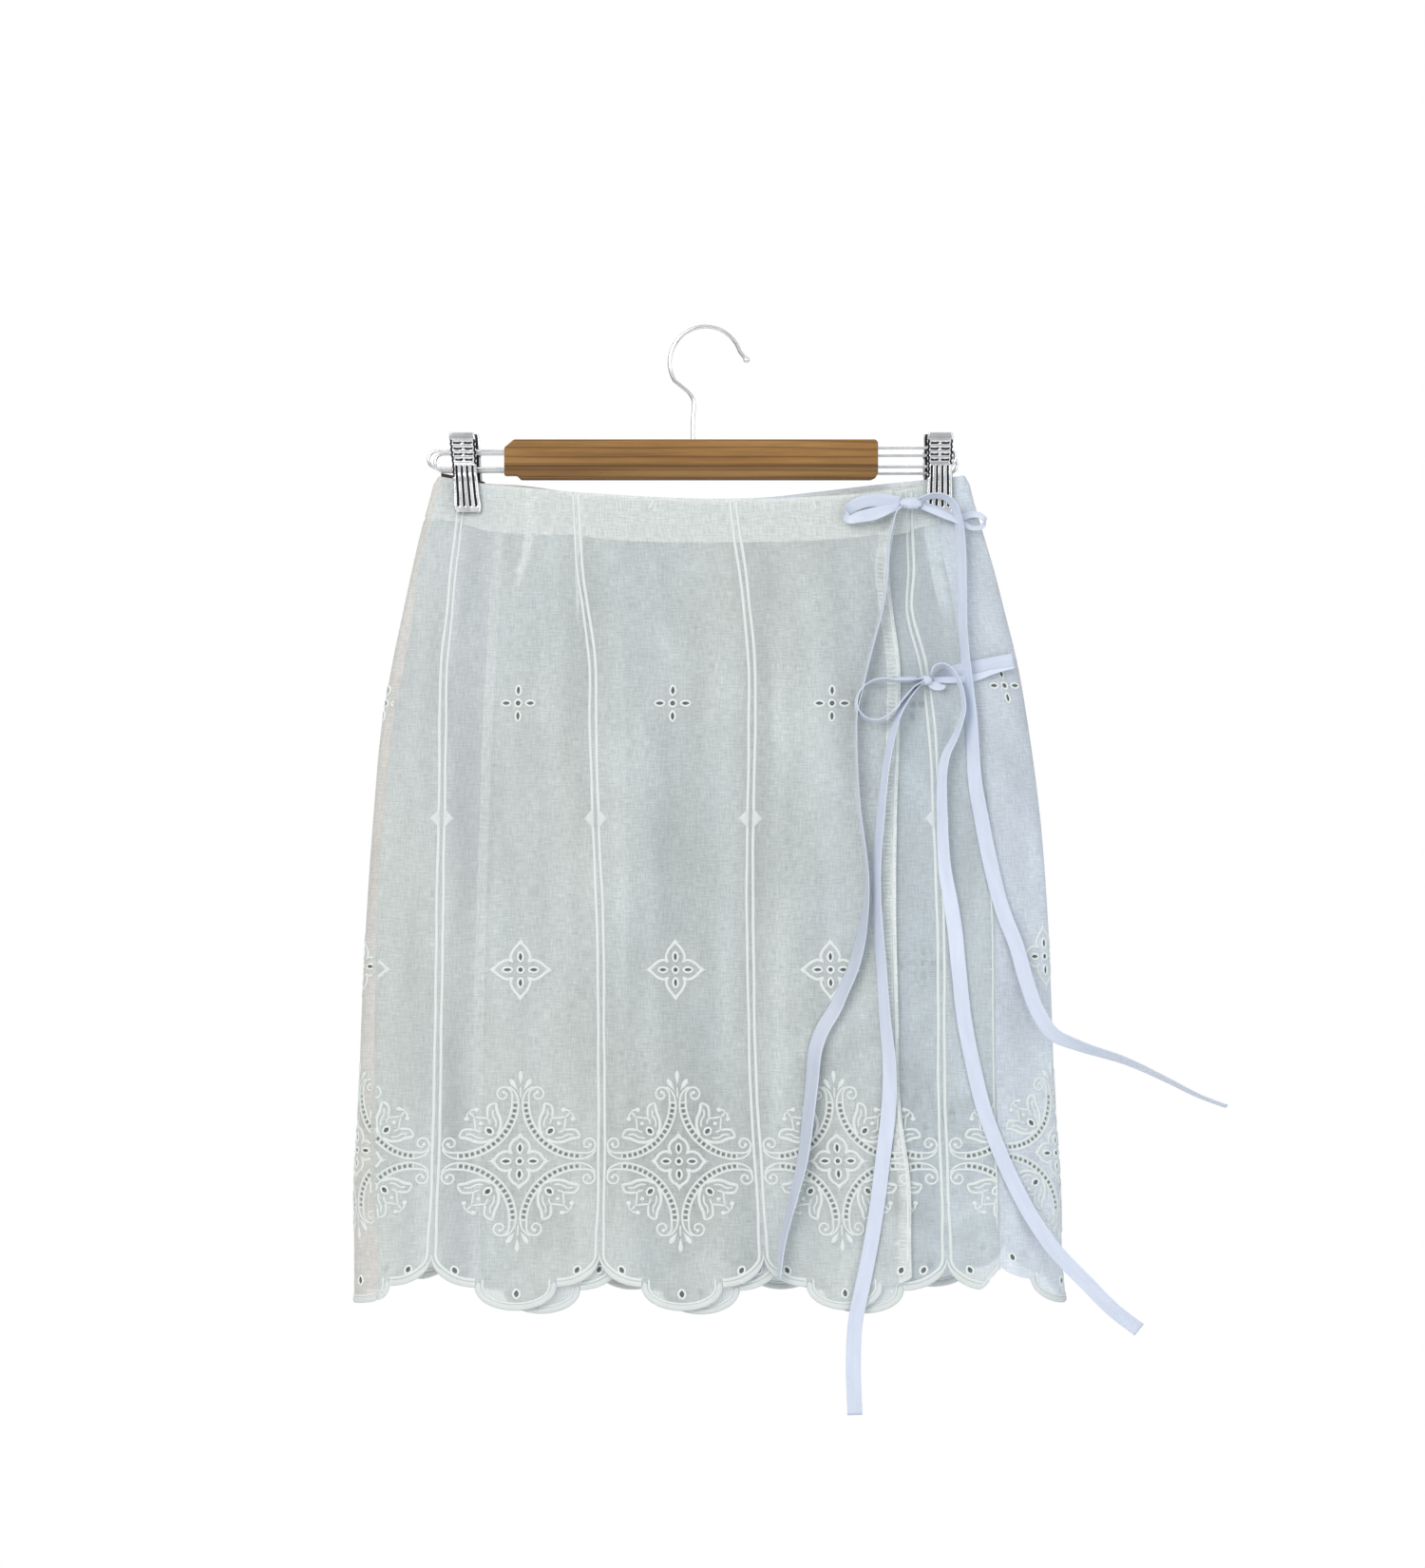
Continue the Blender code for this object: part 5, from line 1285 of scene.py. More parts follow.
def make_cloth():
    over_lines = dart_edges(OVER_DARTS) + [
        (lambda z: line("under_edge", z), -134.0, SIDE_FOOT),
        (lambda z: line("under_edge", z) + GHOST, -134.0, SIDE_FOOT),
        (lambda z: line("over_edge", z) - EDGE_HEM, -134.0, SIDE_FOOT),
    ]
    over_lines += [(lambda z, name=name, side=side: line(name, z) + side * STRIPE_SIDE, -170.0, -600.0)
                   for name in ("under_1", "under_2") for side in (-1, 1)]
    under_lines = dart_edges(UNDER_DARTS) + [(lambda z: line("right_seam", z) - 14, -350.0, SIDE_FOOT)]
    back = cloth_sheet("back_cloth", BACK_COTTON, BACK, back_look)
    under = cloth_sheet("under_cloth", COTTON, UNDER, under_look, under_lines)
    over = cloth_sheet("over_cloth", COTTON, OVER, over_look, over_lines)
    for piece, node in ((back, "back_panel"), (under, "under_panel"), (over, "over_panel")):
        settle(piece, "cotton", node)
    sewn = {
        over: stitching_piece("over_stitching", OVER, range(-1, 3), range(0, 3), OVER_EDGE_LINE),
        under: stitching_piece("under_stitching", UNDER, range(-1, 3), range(-1, 3), UNDER_EDGE_LINE),
        back: stitching_piece("back_stitching", BACK, range(0, 6), range(1, 6)),
    }
    facings = (
        facing_piece("over_inner_hem", COTTON, lapped_level(INSIDE, LAP), -171.0, 130.0, FRONT_TOP, 1),
        facing_piece("under_inner_hem", COTTON, flat_level(INSIDE), -130.0, 168.0, FRONT_TOP, 1),
        facing_piece("back_inner_hem", BACK_COTTON, flat_level(INSIDE), -165.0, 164.0, BACK_TOP, -1),
    )
    for piece, node in zip(facings, ("over_facing", "under_facing", "back_facing")):
        settle(piece, "cotton", node)
    hems = (
        edge_hem_piece("over_side_hem", COTTON, flat_level(LAP), "over_edge", -1, -144.0, -634.0),
        edge_hem_piece("under_side_hem", COTTON, flat_level(INSIDE), "under_edge", 1, -144.0, -634.0),
    )
    for piece, node in zip(hems, ("over_edge_hem", "under_edge_hem")):
        settle(piece, "cotton", node)
    for piece, flat in ((over, (0.36, 0.56)), (under, (0.36, 0.56)), (back, (0.60, 0.56))):
        settle(sewn[piece], "cotton")


# Ribbons
RIBBON, RIBBON_WALL = 10.0, 0.5
FLAT_SHARE = 0.86  # how far towards its side folds the cloth in front counts as level


def cloth_front(x, z):
    """How far forward the outermost cloth lies, kept level past its side folds."""
    z = np.clip(z, -650.0, -104.0)
    left, right = sides(z)
    half = (right - left) / 2 * FLAT_SHARE
    middle = (left + right) / 2
    inside = np.clip(x, middle - half, middle + half)
    base = -ring(front_turn(inside, z), z)[..., 1]
    rise = 1 - smooth((x - line("over_edge", z) - 4.0) / 12.0)
    return base + PANEL + WALL + LAP * rise


def curve_through(rows, spacing):
    """Evenly spaced rows on one smooth curve through the rows given."""
    rows = np.array(rows, float)
    chord = np.concatenate([[0], np.cumsum(np.linalg.norm(np.diff(rows[:, :2], axis=0), axis=1) + 0.5)])
    fine = np.linspace(0, chord[-1], 900)
    dense = np.stack([through(tuple(zip(chord, rows[:, c])), fine) for c in range(rows.shape[1])], -1)
    run = distance_along(dense[:, :3])
    want = np.linspace(0, run[-1], max(6, round(run[-1] / spacing)) + 1)
    return np.stack([np.interp(want, run, dense[:, c]) for c in range(rows.shape[1])], -1)


# Across a ribbon: side and height, with a stitched edge
RIBBON_ACROSS = (
    (-1.0, 0.0), (-0.93, 0.10), (-0.78, 0.02), (0.0, 0.0), (0.78, 0.02), (0.93, 0.10), (1.0, 0.0),
)


def ribbon(name, rows, spacing, node, across=None, tones=((0.0, 1.0), (1.0, 1.0)), edge=None):
    """A flat ribbon. Rows are x, z, distance from the cloth, turn in degrees and width. Its tones of painted
    light and shade, and the painted highlight of its near edge, go by its length."""
    path = curve_through(rows, spacing)
    x, z, out, turn, width = path.T
    middle = np.stack([x, -(cloth_front(x, z) + out), z], -1)
    tangent = unit(np.gradient(middle, axis=0))
    if across is None:
        level = unit(np.stack([-tangent[:, 2], 0 * x, tangent[:, 0]], -1))
        angle = np.radians(turn)[:, None]
        wide = np.cos(angle) * level + np.sin(angle) * np.array([0.0, -1.0, 0.0])
    else:
        wide = np.tile(np.array(across, float), (len(x), 1))
    wide -= tangent * np.sum(wide * tangent, axis=1, keepdims=True)
    wide = unit(wide)
    thick = np.cross(tangent, wide)
    half = width[:, None] / 2
    along = distance_along(middle)
    loop = [(s, h + RIBBON_WALL / 2) for s, h in RIBBON_ACROSS]
    loop += [(s, -h - RIBBON_WALL / 2) for s, h in reversed(RIBBON_ACROSS)]
    rings = [middle + wide * half * s + thick * h for s, h in loop]
    points = np.stack(rings, 1).reshape(-1, 3)
    uv = np.stack([np.stack([along, s * width / 2], -1) for s, _ in loop], 1).reshape(-1, 2)
    count, around = len(x), len(loop)
    faces = grid_faces(count, around, True).tolist()
    faces += [list(range(around))[::-1], list(range((count - 1) * around, count * around))]
    tone = np.interp(along / along[-1], *zip(*tones))[:, None].repeat(around, 1)
    if edge:
        near = np.array([s > 0.9 for s, _ in loop])
        tone[:, near] = np.interp(along / along[-1], *zip(*edge))[:, None]
    obj = make_object(name, RIBBON_CLOTH, points, faces, "flat", uv, tone=tone.ravel())
    settle(obj, "ribbon", *([node] if node else []))
    return obj


WAIST_TAIL_RIGHT = (
    (143, -117, 7.6, 62, 6), (149.5, -114.2, 9.6, 64, 7.5), (156, -113.4, 11.2, 62, 7.5),
    (162.2, -115, 11.8, 60, 7.5), (166.6, -119.2, 11.6, 60, 8.5), (169.4, -126.4, 10.6, 60, 9),
    (171.4, -138, 7.4, 58, 10), (172.4, -152, 5.8, 58, 10), (172.6, -164, 5.2, 58, 10),
    (172.7, -182, 5, 59, 10), (173, -200, 5, 59, 10), (174.3, -219, 4.9, 57, 10),
    (176.4, -241, 4.3, 48, 10), (178.4, -262, 3.8, 40, 10), (179.6, -284, 3.2, 32, 10),
    (181, -305.5, 2.6, 24, 10), (185, -328.5, 1.9, 14, 10), (190.5, -356.5, 1.4, 6, 10),
    (200, -393, 1.4, 0, 10), (208.5, -415, 1.6, 0, 10), (215, -438, 1.8, 5, 10), (223, -459.5, 2.4, 12, 10),
    (233, -474, 3.4, 25, 10), (248.5, -481, 4.6, 42, 10), (282, -492, 5.6, 60, 10),
    (309, -504.5, 6, 70, 10), (330, -515, 6, 74, 10), (348.5, -522, 6, 76, 10),
)
WAIST_TAIL_LEFT = (
    (131.8, -119.6, 5, 70, 7), (128.8, -123, 5.6, 82, 9), (125.4, -134, 6.2, 85, 10),
    (122.6, -148, 6.2, 85, 10), (122, -164, 6.2, 85, 10), (118.8, -188.5, 6.2, 85, 10),
    (113.8, -208, 6.2, 86, 10), (109, -227, 6.3, 87, 10), (104.8, -245, 6.4, 88, 10),
    (101.8, -258, 6.4, 88, 10), (101.2, -280, 6.2, 87, 10), (102, -305, 6.2, 86, 10),
    (103.4, -324, 6, 85, 10), (105.6, -341, 5.8, 84, 10), (107.2, -354, 5.6, 82, 10),
    (108.4, -369.5, 5.4, 79, 10), (108, -383, 5.1, 73, 10), (106.4, -397, 4.7, 64, 10),
    (103.2, -415, 3.9, 50, 10), (98.2, -431.5, 3.2, 42, 10), (92, -445.5, 2.8, 38, 10),
    (85.5, -459, 2.6, 26, 10), (79, -469.5, 2.8, 20, 10), (74.2, -482, 3.2, 24, 10),
    (71.6, -504.5, 4, 34, 10), (68.9, -528.5, 4.5, 40, 10), (65, -558, 4.9, 48, 10),
    (57.6, -587.5, 5.4, 60, 10), (51.8, -611, 5.6, 66, 10), (49.2, -635.5, 5.8, 78, 10),
)
HIP_TAIL_RIGHT = (
    (151.6, -234, 8, 80, 9), (153.8, -228.4, 8.2, 78, 9), (159, -226.8, 8.2, 77, 9),
    (165.6, -231, 8.2, 77, 9), (170.4, -239, 8, 77, 9), (172.9, -249, 7.8, 77, 9),
    (173.2, -257.5, 7.4, 76, 9.5), (171, -266, 6.8, 74, 9.5), (166.8, -276.5, 6, 68, 10),
    (161.6, -286.5, 5.2, 60, 10), (159, -297.5, 4.4, 53, 10), (158.4, -312, 3.8, 50, 10),
    (158.8, -329, 3.4, 47, 10), (159.2, -344, 3, 44, 10), (160.4, -362.5, 2.4, 34, 10),
    (164.2, -385, 1.8, 18, 10), (166.6, -400, 1.4, 4, 10), (169.6, -429, 1.4, 0, 10),
    (173.5, -465, 1.4, 0, 10), (179, -493.5, 1.4, 0, 10), (186, -522.5, 1.5, 0, 10),
    (195, -547.5, 1.7, 0, 10), (206, -572.5, 2, 0, 10), (218.5, -596, 2.4, 0, 10), (233, -617, 2.8, 4, 10),
    (255, -640, 3.2, 8, 10), (273, -658, 3.4, 10, 10), (290, -671, 3.6, 12, 10),
)
HIP_TAIL_LEFT = (
    (145, -238.6, 4.8, 75, 7), (140.6, -243.6, 5, 80, 8), (135.4, -250, 5.4, 76, 9),
    (129.4, -260, 5.6, 68, 10), (125.4, -273.5, 5.6, 67, 10), (121.2, -295, 5.4, 66, 10),
    (119.2, -311.5, 5.2, 65, 10), (117.6, -328, 5, 63, 10), (115.2, -354, 4.7, 59, 10),
    (114.8, -383, 4.6, 58, 10), (116, -405, 4.4, 55, 10), (117.6, -424.5, 4.1, 52, 10),
    (119, -446, 3.7, 48, 10), (120.6, -467.5, 3.3, 42, 10), (123, -491.5, 2.6, 30, 10),
    (123, -518.5, 1.6, 12, 10), (119, -555, 1.4, 0, 10), (114.5, -590.5, 1.4, 0, 10),
    (110, -617.5, 1.6, 0, 10), (104.5, -644.5, 2, 0, 10), (100.5, -664, 2.6, 0, 10), (99, -691, 3, 0, 10),
    (100, -727, 3.4, 0, 10),
)
WAIST_LOOP_LEFT = (
    (131, -117.6, 3.6, 0, 7), (119, -116.5, 1.8, 0, 8.5), (107, -117.5, 1.4, 0, 8.5), (98, -121.5, 2, 0, 8),
    (93.9, -126, 4.4, 0, 7), (96, -129.6, 7.2, 0, 5.5), (103, -128.2, 8.4, 0, 7.5), (113, -126, 8, 0, 8.5),
    (122, -123.2, 7.4, 0, 6.5), (131, -120.4, 6.2, 0, 4),
)
WAIST_LOOP_RIGHT = (
    (144, -119, 5.4, 0, 5), (154, -122.8, 5.6, 0, 6.5), (165, -127, 5.2, 0, 6.5), (173, -127.4, 3.4, 0, 5),
    (179, -125.6, 3, 0, 4.5), (185, -126.4, 4, 0, 4), (188.4, -129.8, 5.8, 0, 3.4),
    (186, -134, 7.2, 0, 3.2), (180, -135.2, 7.8, 0, 3.2), (173, -131.8, 8.2, 0, 3.6),
    (160, -126, 8, 0, 4.5), (145, -120.4, 7.6, 0, 3.5),
)
HIP_LOOP_LEFT = (
    (144.6, -236.8, 6.6, 0, 8), (137, -237.6, 6.7, 0, 9), (129, -237.8, 6.8, 0, 9),
    (119.6, -236.9, 6.8, 0, 9), (111, -238.4, 6.8, 0, 9), (104.4, -243.4, 6.8, 0, 9),
    (101.4, -249.4, 6.8, 0, 9), (101.6, -256.6, 6.8, 0, 9), (105.6, -262, 6.8, 0, 9),
    (113.4, -264.6, 6.8, 0, 9), (120.2, -262.6, 6.8, 0, 9), (126.6, -257, 6.8, 0, 9),
    (133, -249.4, 6.8, 0, 9), (139.2, -242.6, 6.7, 0, 9), (145.4, -238.8, 6.6, 0, 8),
)
HIP_TIE_RIGHT = (
    (207, -223.6, 1.2, 0, 9), (194, -226, 1.1, 0, 9), (178, -229.5, 1.1, 0, 10), (165, -232.4, 1.1, 0, 9),
    (157, -234.8, 1.4, 0, 6), (151.9, -236.4, 2, 0, 4.5),
)
HIP_TIE_FOLD = (
    (208, -228.4, 1.9, 0, 1.2), (194, -231.4, 2.2, 0, 3.2), (180, -235.6, 2.4, 0, 5),
    (166, -236.9, 2.6, 0, 4.6), (152.6, -237, 3, 0, 3.6),
)
HIP_KNOT_END = (
    (150.2, -239.6, 5.4, 0, 4), (154.6, -241.2, 5, 0, 5.6), (159, -241.8, 4.2, 0, 3.6),
    (161.4, -240.8, 3.4, 0, 1.4),
)
HIP_TIE_LEFT = (
    (128, -236.5, 0.9, 0, 3), (134, -236.6, 1, 0, 3.6), (143, -236.4, 1.2, 0, 4),
)
VERTICAL = (0.15, 0.0, 1.0)
FORWARD = (0.16, -1.0, 0.20)


def knot(name, x, z, out, size, node):
    """A pulled knot: a rounded body with the ribbon's wraps pressed into it."""
    y = -(float(cloth_front(np.array([x]), np.array([z]))[0]) + out)
    rows, around = 26, 36
    points = []
    for i in range(rows + 1):
        polar = math.pi * i / rows
        for j in range(around):
            a = 2 * math.pi * j / around
            ring_size = math.sin(polar)
            body = np.array([math.cos(polar), ring_size * math.cos(a), ring_size * math.sin(a)])
            body = np.sign(body) * np.abs(body) ** 0.86
            crease = 1 - 0.15 * math.cos(5.6 * body[0] + 2.3 * body[2] + 0.7) ** 6
            points.append([x + body[0] * size[0] / 2, y + body[1] * size[1] / 2 * crease,
                           z + body[2] * size[2] / 2 * crease])
    faces = grid_faces(rows + 1, around, True).tolist()
    obj = make_object(name, RIBBON_CLOTH, points, faces, "flat", np.array(points)[:, [0, 2]])
    work = bmesh.new()
    work.from_mesh(obj.data)
    bmesh.ops.remove_doubles(work, verts=work.verts, dist=0.01 * MM)
    write_back(work, obj.data)
    return settle(obj, "ribbon", node)


def make_ribbons():
    knot("waist_knot", 138.0, -118.6, 5.0, (15.4, 6.8, 8.2), "waist_bow_knot")
    ribbon("waist_bow_left", WAIST_LOOP_LEFT, 1.5, "waist_loop_left", VERTICAL)
    ribbon("waist_bow_right", WAIST_LOOP_RIGHT, 1.5, "waist_loop_right", VERTICAL)
    # Tones above 1 are painted light on the ribbons; shaded is painted shade on the left waist end, and lit
    # a painted highlight on its near edge.
    bright = ((0.0, 1.05), (0.3, 1.07), (0.45, 1.0))
    ribbon("waist_end_right", WAIST_TAIL_RIGHT, 3.0, "waist_tail_right", tones=bright)
    shaded = ((0.0, 1.0), (0.44, 0.94), (0.52, 0.82), (0.62, 0.82), (0.70, 0.80), (0.9, 0.82), (1.0, 0.86))
    lit = ((0.0, 1.0), (0.5, 0.96), (0.62, 1.0), (1.0, 1.06))
    ribbon("waist_end_left", WAIST_TAIL_LEFT, 3.0, "waist_tail_left", tones=shaded, edge=lit)
    knot("hip_knot", 148.2, -237.4, 5.6, (8.4, 7.4, 6.8), "hip_bow_knot")
    bright = ((0.0, 1.12), (0.3, 1.12), (0.5, 1.0))
    ribbon("hip_bow_left", HIP_LOOP_LEFT, 1.5, "hip_loop_left", FORWARD, tones=((0.0, 1.12), (1.0, 1.12)))
    ribbon("hip_end_right", HIP_TAIL_RIGHT, 2.5, "hip_tail_right", tones=bright)
    ribbon("hip_knot_end", HIP_KNOT_END, 1.0, None)
    ribbon("hip_band_fold", HIP_TIE_FOLD, 2.0, None, tones=((0.0, 1.08), (1.0, 1.08)))
    bright = ((0.0, 1.07), (0.4, 1.07), (0.55, 1.0))
    ribbon("hip_end_left", HIP_TAIL_LEFT, 3.0, "hip_tail_left", tones=bright)
    # The tie's left part, behind the loop, toned down as painted shade.
    back_part_shade = ((0.0, 0.98), (0.6, 0.96), (0.78, 0.80), (1.0, 0.78))
    ribbon("hip_band_right", HIP_TIE_RIGHT, 2.0, "hip_tie_right", tones=back_part_shade)
    ribbon("hip_band_left", HIP_TIE_LEFT, 1.5, "hip_tie_left")


# Hanger
HOOK_WIRE, HOOK_RADIUS, HOOK_TURN_X = 1.45, 24.2, 0.5
HOOK_START, HOOK_SWEEP, HOOK_STEPS = 211, 193, 48  # degrees
STEM_X = -8.0
# The stem from the bar up to the turn, and the hook's end: x, z
STEM = ((STEM_X, -82.0), (STEM_X, -60.0), (-7.4, -52.0), (-7.9, -47.6), (-10.2, -43.7), (-14.6, -39.6))
HOOK_END = ((26.4, -19.0), (27.6, -20.4))
BALL, BALL_X, BALL_Z, BALL_FLAT = 2.3, 28.0, -20.9, 0.9


def wire(name, points, radius, node, sides=6):
    """A smooth round wire through the points."""
    curve = bpy.data.curves.new(name, "CURVE")
    curve.dimensions = "3D"
    curve.bevel_depth = radius * MM
    curve.bevel_resolution = sides
    curve.use_fill_caps = True
    spline = curve.splines.new("POLY")
    spline.points.add(len(points) - 1)
    for item, point in zip(spline.points, points):
        item.co = (point[0] * MM, point[1] * MM, point[2] * MM, 1.0)
    spline.use_smooth = True
    curve.materials.append(STEEL)
    return settle(add_object(name, curve), "steel", node)


def make_hook():
    centre_z = -(HOOK_RADIUS - HOOK_WIRE)
    points = [(x, 0, z) for x, z in rounded(STEM, 8)][:-2]
    for k in range(HOOK_STEPS + 1):
        a = math.radians(HOOK_START - HOOK_SWEEP * k / HOOK_STEPS)
        points.append((HOOK_TURN_X + HOOK_RADIUS * math.cos(a), 0, centre_z + HOOK_RADIUS * math.sin(a)))
    points += [(x, 0, z) for x, z in HOOK_END]
    wire("hook_wire", points, HOOK_WIRE, "hook")
    tip = bmesh.new()
    bmesh.ops.create_icosphere(tip, subdivisions=3, radius=BALL * MM)
    bmesh.ops.scale(tip, vec=(1.0, BALL_FLAT, 1.0), verts=tip.verts)
    bmesh.ops.translate(tip, vec=(BALL_X * MM, 0, BALL_Z * MM), verts=tip.verts)
    mesh = bpy.data.meshes.new("hook_tip")
    tip.to_mesh(mesh)
    tip.free()
    mesh.polygons.foreach_set("use_smooth", [True] * len(mesh.polygons))
    mesh.materials.append(STEEL)
    settle(add_object("hook_tip", mesh), "steel")


RAIL_WIRE, RAIL_PLANE, RAIL_INSET = 1.05, 2.4, 14.0
BAR_LEFT, BAR_RIGHT = -135.0, 116.5
# name, side, plane, upper z, lower z, reach
RAILS = (
    ("rail_left_front", -1, -RAIL_PLANE, -82.6, -94.4, -186.0),
    ("rail_left_rear", -1, RAIL_PLANE, -84.4, -96.2, -182.0),
    ("rail_right_front", 1, -RAIL_PLANE, -80.6, -93.2, 168.6),
    ("rail_right_rear", 1, RAIL_PLANE, -85.4, -97.4, 170.0),
)


def make_rails():
    for name, side, plane, upper, lower, reach in RAILS:
        inner = (BAR_LEFT if side < 0 else BAR_RIGHT) - side * (RAIL_INSET - 0.5)
        half = (upper - lower) / 2
        points = [(inner, plane, upper)]
        for k in range(25):
            a = math.radians(90 - 7.5 * k)
            points.append((reach - side * half + side * half * math.cos(a), plane,
                           (upper + lower) / 2 + half * math.sin(a)))
        points.append((inner, plane, lower))
        wire(name.replace("rail", "guide"), points, RAIL_WIRE, name)


# A clip's leaf from the lever to the jaw: height, distance from the middle plane, half width. The jaw's own
# distance is that of the pads
LEAF = (
    (-70.6, 8.6, 8.0), (-73.0, 8.4, 8.6), (-78.0, 7.6, 8.6), (-84.0, 6.6, 8.6), (-92.0, 6.0, 8.2),
    (-98.0, None, 8.2), (-104.0, None, 8.4), (-112.0, None, 8.6), (-122.9, None, 8.7), (-124.2, None, 8.3),
)
LEAF_WALL, RIB, PAD_WALL, PAD_GAP = 0.9, 0.45, 1.2, 0.3
LEAF_EDGE, LEAF_GROOVE, LEAF_LEAST = 0.55, 1.15, 0.15  # rounding, depth of the grooves, wall left under them
CHEEK_RADIUS, CHEEK_WALL, CHEEK_LONG = 2.6, 0.8, 2.4
CLIP_TOP, CLIP_FOOT, PIVOT_Z = -71.0, -124.5, -89.35
# name, middle of the top, lean to its foot, faces of the cloth in front and behind
CLIPS = (("left", -163.4, 4.2, 7.9, 4.5), ("right", 158.2, -0.6, 4.6, 5.0))
REAR_SHIFT = 2.6  # the rear leaves sit a little nearer the bar
INNER_SHADE = 0.84  # how far across its inner side a leaf is in shade
SLOT_ROWS = (-77.4, -81.2, -85.0, -88.6)
SLOT_SHARES = (-0.43, 0.43)
GROOVE_SHARES = (-0.66, -0.22, 0.22, 0.66)


def notch(value, middle, half, soft):
    """1 inside half of the middle, falling to 0 over the soft distance."""
    return smooth(1 + (half - np.abs(value - middle)) / soft)


def leaf_relief(share, z):
    """How raised the leaf is, from 0 to 1, and how deep its slots and grooves go."""
    slots = np.zeros_like(z)
    for row in SLOT_ROWS:
        for middle in SLOT_SHARES:
            arc = row - 0.35 * np.cos((share - middle) * 4.2)
            slots = np.maximum(slots, notch(z, arc, 0.45, 0.25) * notch(share, middle, 0.30, 0.06))
    for side, middle, half in ((-0.9, -88.0, 12.5), (0.9, -83.5, 8.0)):
        tooth = side + 0.03 * np.sin(z * 1.7)
        slots = np.maximum(slots, notch(share, tooth, 0.06, 0.04) * notch(z, middle, half, 0.6))
    grooves = np.zeros_like(z)
    for middle in GROOVE_SHARES:
        grooves = np.maximum(grooves, notch(share, middle, 0.06, 0.04) * notch(z, -106.5, 13.4, 0.8))
    raised = 0.5 + 0.5 * np.cos((z + 79.3) / 3.75 * 2 * math.pi) * notch(z, -83.0, 7.0, 1.5)
    return raised, np.maximum(slots, grooves)


def clip_leaf(name, x, lean, jaw, sign, node):
    """A stamped leaf with louvres at its lever and deep grooves down its jaw, and cheeks for the pivot."""
    heights = np.linspace(LEAF[0][0], LEAF[-1][0], 150)
    shares = np.linspace(-1, 1, 72)
    away = through(tuple((z, jaw if a is None else a) for z, a, _ in LEAF), heights)
    half = through(tuple((z, h) for z, _, h in LEAF), heights)
    z, share = np.meshgrid(heights, shares, indexing="ij")
    raised, deep = leaf_relief(share * sign * -1, z)
    middle = x + lean * (CLIP_TOP - z) / (CLIP_TOP - CLIP_FOOT)
    rounded_edge = LEAF_EDGE * smooth((np.abs(share) - 0.90) / 0.10)
    out = away[:, None] + LEAF_WALL + RIB * raised - rounded_edge - LEAF_GROOVE * deep
    out = np.maximum(out, away[:, None] + LEAF_LEAST)
    px = middle + share * half[:, None]
    outer = np.stack([px, sign * out, z], -1).reshape(-1, 3)
    inner = np.stack([px, sign * np.broadcast_to(away[:, None], z.shape), z], -1).reshape(-1, 3)
    rows, columns = z.shape
    front = back_to_front(grid_faces(rows, columns))
    count = rows * columns
    faces = front.tolist() + (front[:, ::-1] + count).tolist()
    top, foot = list(range(columns)), list(range(count - columns, count))
    left, right = list(range(0, count, columns)), list(range(columns - 1, count, columns))
    for edge in (top, foot, left, right):
        faces += [(p, q, q + count, p + count) for p, q in zip(edge, edge[1:])]
    obj = make_object(name, STEEL, np.concatenate([outer, inner]), faces)
    obj.data.materials.append(SHADED_STEEL)
    # Slots, grooves and most of the inner side take the near-black steel: painted shade.
    level = deep.ravel()[front].mean(1)
    dark = np.zeros(len(obj.data.polygons), int)
    dark[: len(front)] = level > 0.5
    dark[len(front): 2 * len(front)] = np.abs(share).ravel()[front].mean(1) < INNER_SHADE
    obj.data.polygons.foreach_set("material_index", dark)
    middle = x + lean * (CLIP_TOP - PIVOT_Z) / (CLIP_TOP - CLIP_FOOT)
    reach = 6.2 if sign < 0 else 4.9
    work = bmesh.new()
    work.from_mesh(obj.data)
    for end in (-1, 1):
        before = set(work.verts)
        bmesh.ops.create_cone(work, cap_ends=True, segments=28, radius1=CHEEK_RADIUS * MM,
                              radius2=CHEEK_RADIUS * MM, depth=CHEEK_WALL * MM,
                              matrix=Matrix.Rotation(math.pi / 2, 4, "Y"))
        cheek = [v for v in work.verts if v not in before]
        for v in cheek:
            if v.co.y * sign > 0:
                v.co.y *= CHEEK_LONG
            v.co += Vector(((middle + end * reach) * MM, 0, PIVOT_Z * MM))
    write_back(work, obj.data)
    obj.data.update()
    return settle(obj, "steel", node)


def rear_pad(name, drop):
    """A clip's rear pad, its top cut down to one side by so many mm."""
    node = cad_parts[name]
    corners = np.array([node.matrix_world @ Vector(c) for c in node.bound_box]) / MM
    low, high = corners.min(0), corners.max(0)
    points = [(x, y, z - (drop * (x - low[0]) / (high[0] - low[0]) if z == high[2] else 0.0))
              for x in (low[0], high[0]) for y in (low[1], high[1]) for z in (low[2], high[2])]
    faces = [(0, 1, 3, 2), (4, 6, 7, 5), (0, 4, 5, 1), (2, 3, 7, 6), (0, 2, 6, 4), (1, 5, 7, 3)]
    obj = make_object(name.replace("clip", "grip"), PAD, points, faces)
    obj.data.polygons.foreach_set("use_smooth", [False] * len(faces))
    return settle(obj, "pad", name)


def make_clips():
    rear_pad("clip_left_rear_pad", 6.0)
    for side, x, lean, front, rear in CLIPS:
        clip_leaf(f"clasp_{side}_front", x, lean, front + PAD_WALL + 2 * PAD_GAP, -1, f"clip_{side}_front")
        rear_x = x + (REAR_SHIFT if x < 0 else -REAR_SHIFT)
        clip_leaf(f"clasp_{side}_rear", rear_x, lean, rear + PAD_WALL + 2 * PAD_GAP, 1, f"clip_{side}_rear")


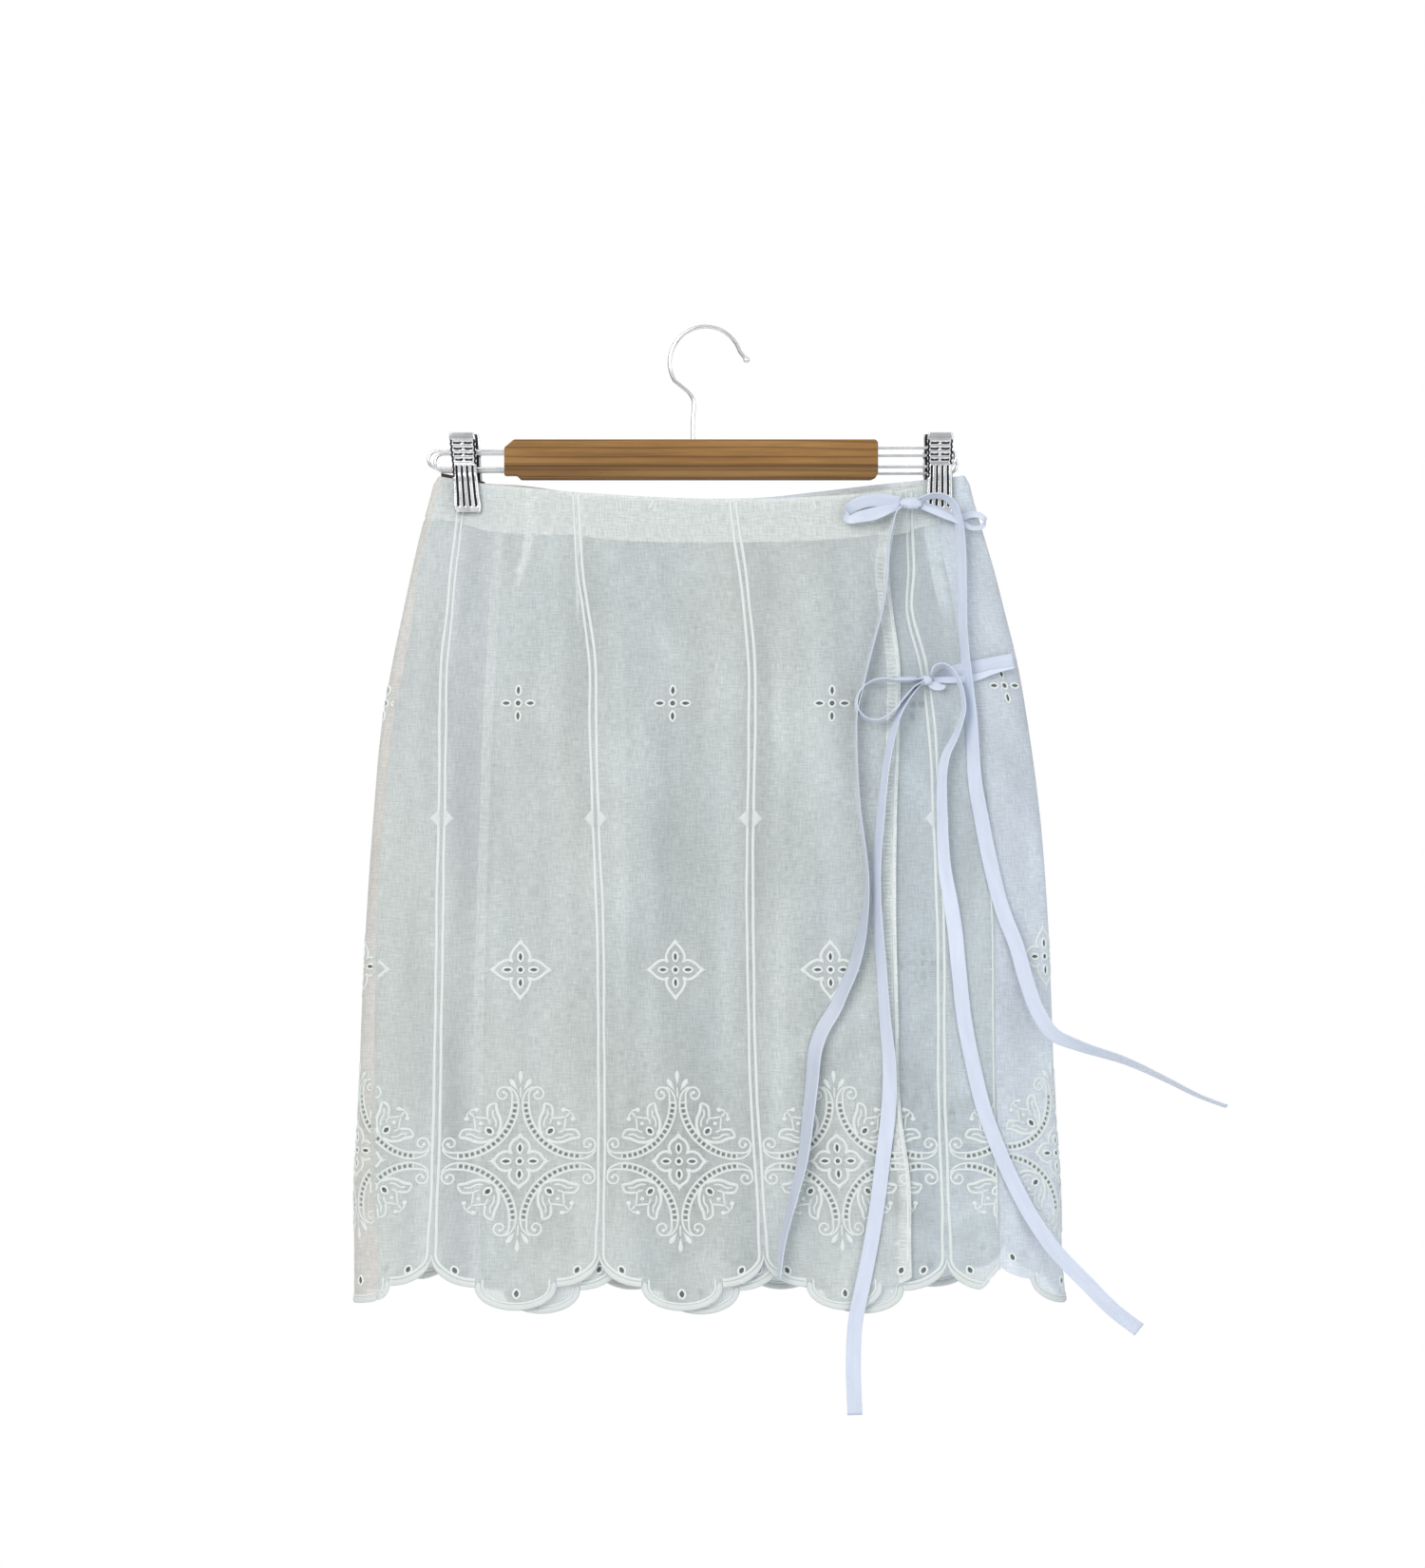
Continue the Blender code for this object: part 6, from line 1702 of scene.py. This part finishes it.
def finish_frame_nodes():
    """Materials for the frame's own pieces that stay."""
    kept = {"hanger_bar": WOOD}
    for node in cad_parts:
        if node.startswith("clip"):
            kept[node] = PAD if node.endswith("pad") else STEEL
    for node, material in kept.items():
        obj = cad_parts[node]
        for slot in obj.material_slots:
            slot.material = material


# Camera, light and floor
def make_camera():
    centre_x = (FRAME_WIDE / 2 - ORIGIN_PIXEL[0]) * MM_PER_PIXEL * MM
    centre_z = (ORIGIN_PIXEL[1] - FRAME_HIGH / 2) * MM_PER_PIXEL * MM
    data = bpy.data.cameras.new("camera")
    data.sensor_fit = "VERTICAL"
    data.sensor_height = SENSOR
    data.lens = SENSOR * CAMERA_AWAY / (FRAME_HIGH * MM_PER_PIXEL * MM)
    camera = add_object("camera", data)
    camera.location = (centre_x, -CAMERA_AWAY, centre_z)
    camera.rotation_euler = (math.radians(90), 0, 0)
    bpy.context.scene.camera = camera


# name, place, size, power, colour
LAMPS = (
    ("key", (-1.3, -2.4, 0.9), 1.6, 52.0, (1.0, 0.99, 0.97)),
    ("fill", (1.9, -1.8, -0.2), 1.8, 18.0, (0.90, 0.95, 1.0)),
    ("rim", (0.3, 2.2, 0.6), 1.6, 18.0, (1.0, 1.0, 1.0)),
)
# The studio's light from below and from above
SKY = ((0.30, (0.50, 0.51, 0.52)), (0.72, (0.97, 0.985, 1.0)))
SKY_STRENGTH = 0.80
AIM = (0, 0, -0.35)  # the lamps point at the middle of the skirt


def make_light():
    world = bpy.data.worlds.new("studio")
    bpy.context.scene.world = world
    nodes = Nodes(world)
    axes = nodes.add("SeparateXYZ", {0: (nodes.add("TexCoord", {}), "Generated")})
    sky = nodes.ramp(nodes.span((axes, "Z"), -1.0, 1.0, 0.0, 1.0), SKY)
    plain = nodes.add("Background", {"Color": sky, "Strength": SKY_STRENGTH})
    bright = nodes.add("Background", {"Color": (1.0, 1.0, 1.0), "Strength": 1.0})
    seen = (nodes.add("LightPath", {}), "Is Camera Ray")
    mix = nodes.mix(seen, (plain, "Background"), (bright, "Background"))
    nodes.feed(nodes.tree.nodes["World Output"], "Surface", mix)
    aim = Vector(AIM)
    for name, spot, size, power, colour in LAMPS:
        data = bpy.data.lights.new(name, "AREA")
        data.size = size
        data.energy = power
        data.color = colour
        lamp = add_object(name, data)
        lamp.location = spot
        lamp.rotation_euler = (aim - Vector(spot)).to_track_quat("-Z", "Y").to_euler()


def make_floor():
    half = FLOOR_HALF
    mesh = bpy.data.meshes.new("floor")
    mesh.from_pydata([(-half, -half, FLOOR_Z), (half, -half, FLOOR_Z), (half, half, FLOOR_Z),
                      (-half, half, FLOOR_Z)], [], [(0, 1, 2, 3)])
    mesh.materials.append(mottled_material("floor", 3.0, 2.0, 0.82, 0.86, 0.8))
    add_object("floor", mesh)


make_camera()
make_light()
make_floor()
make_cloth()
make_ribbons()
make_hook()
make_rails()
make_clips()
finish_frame_nodes()
bpy.context.scene.view_settings.view_transform = "Standard"
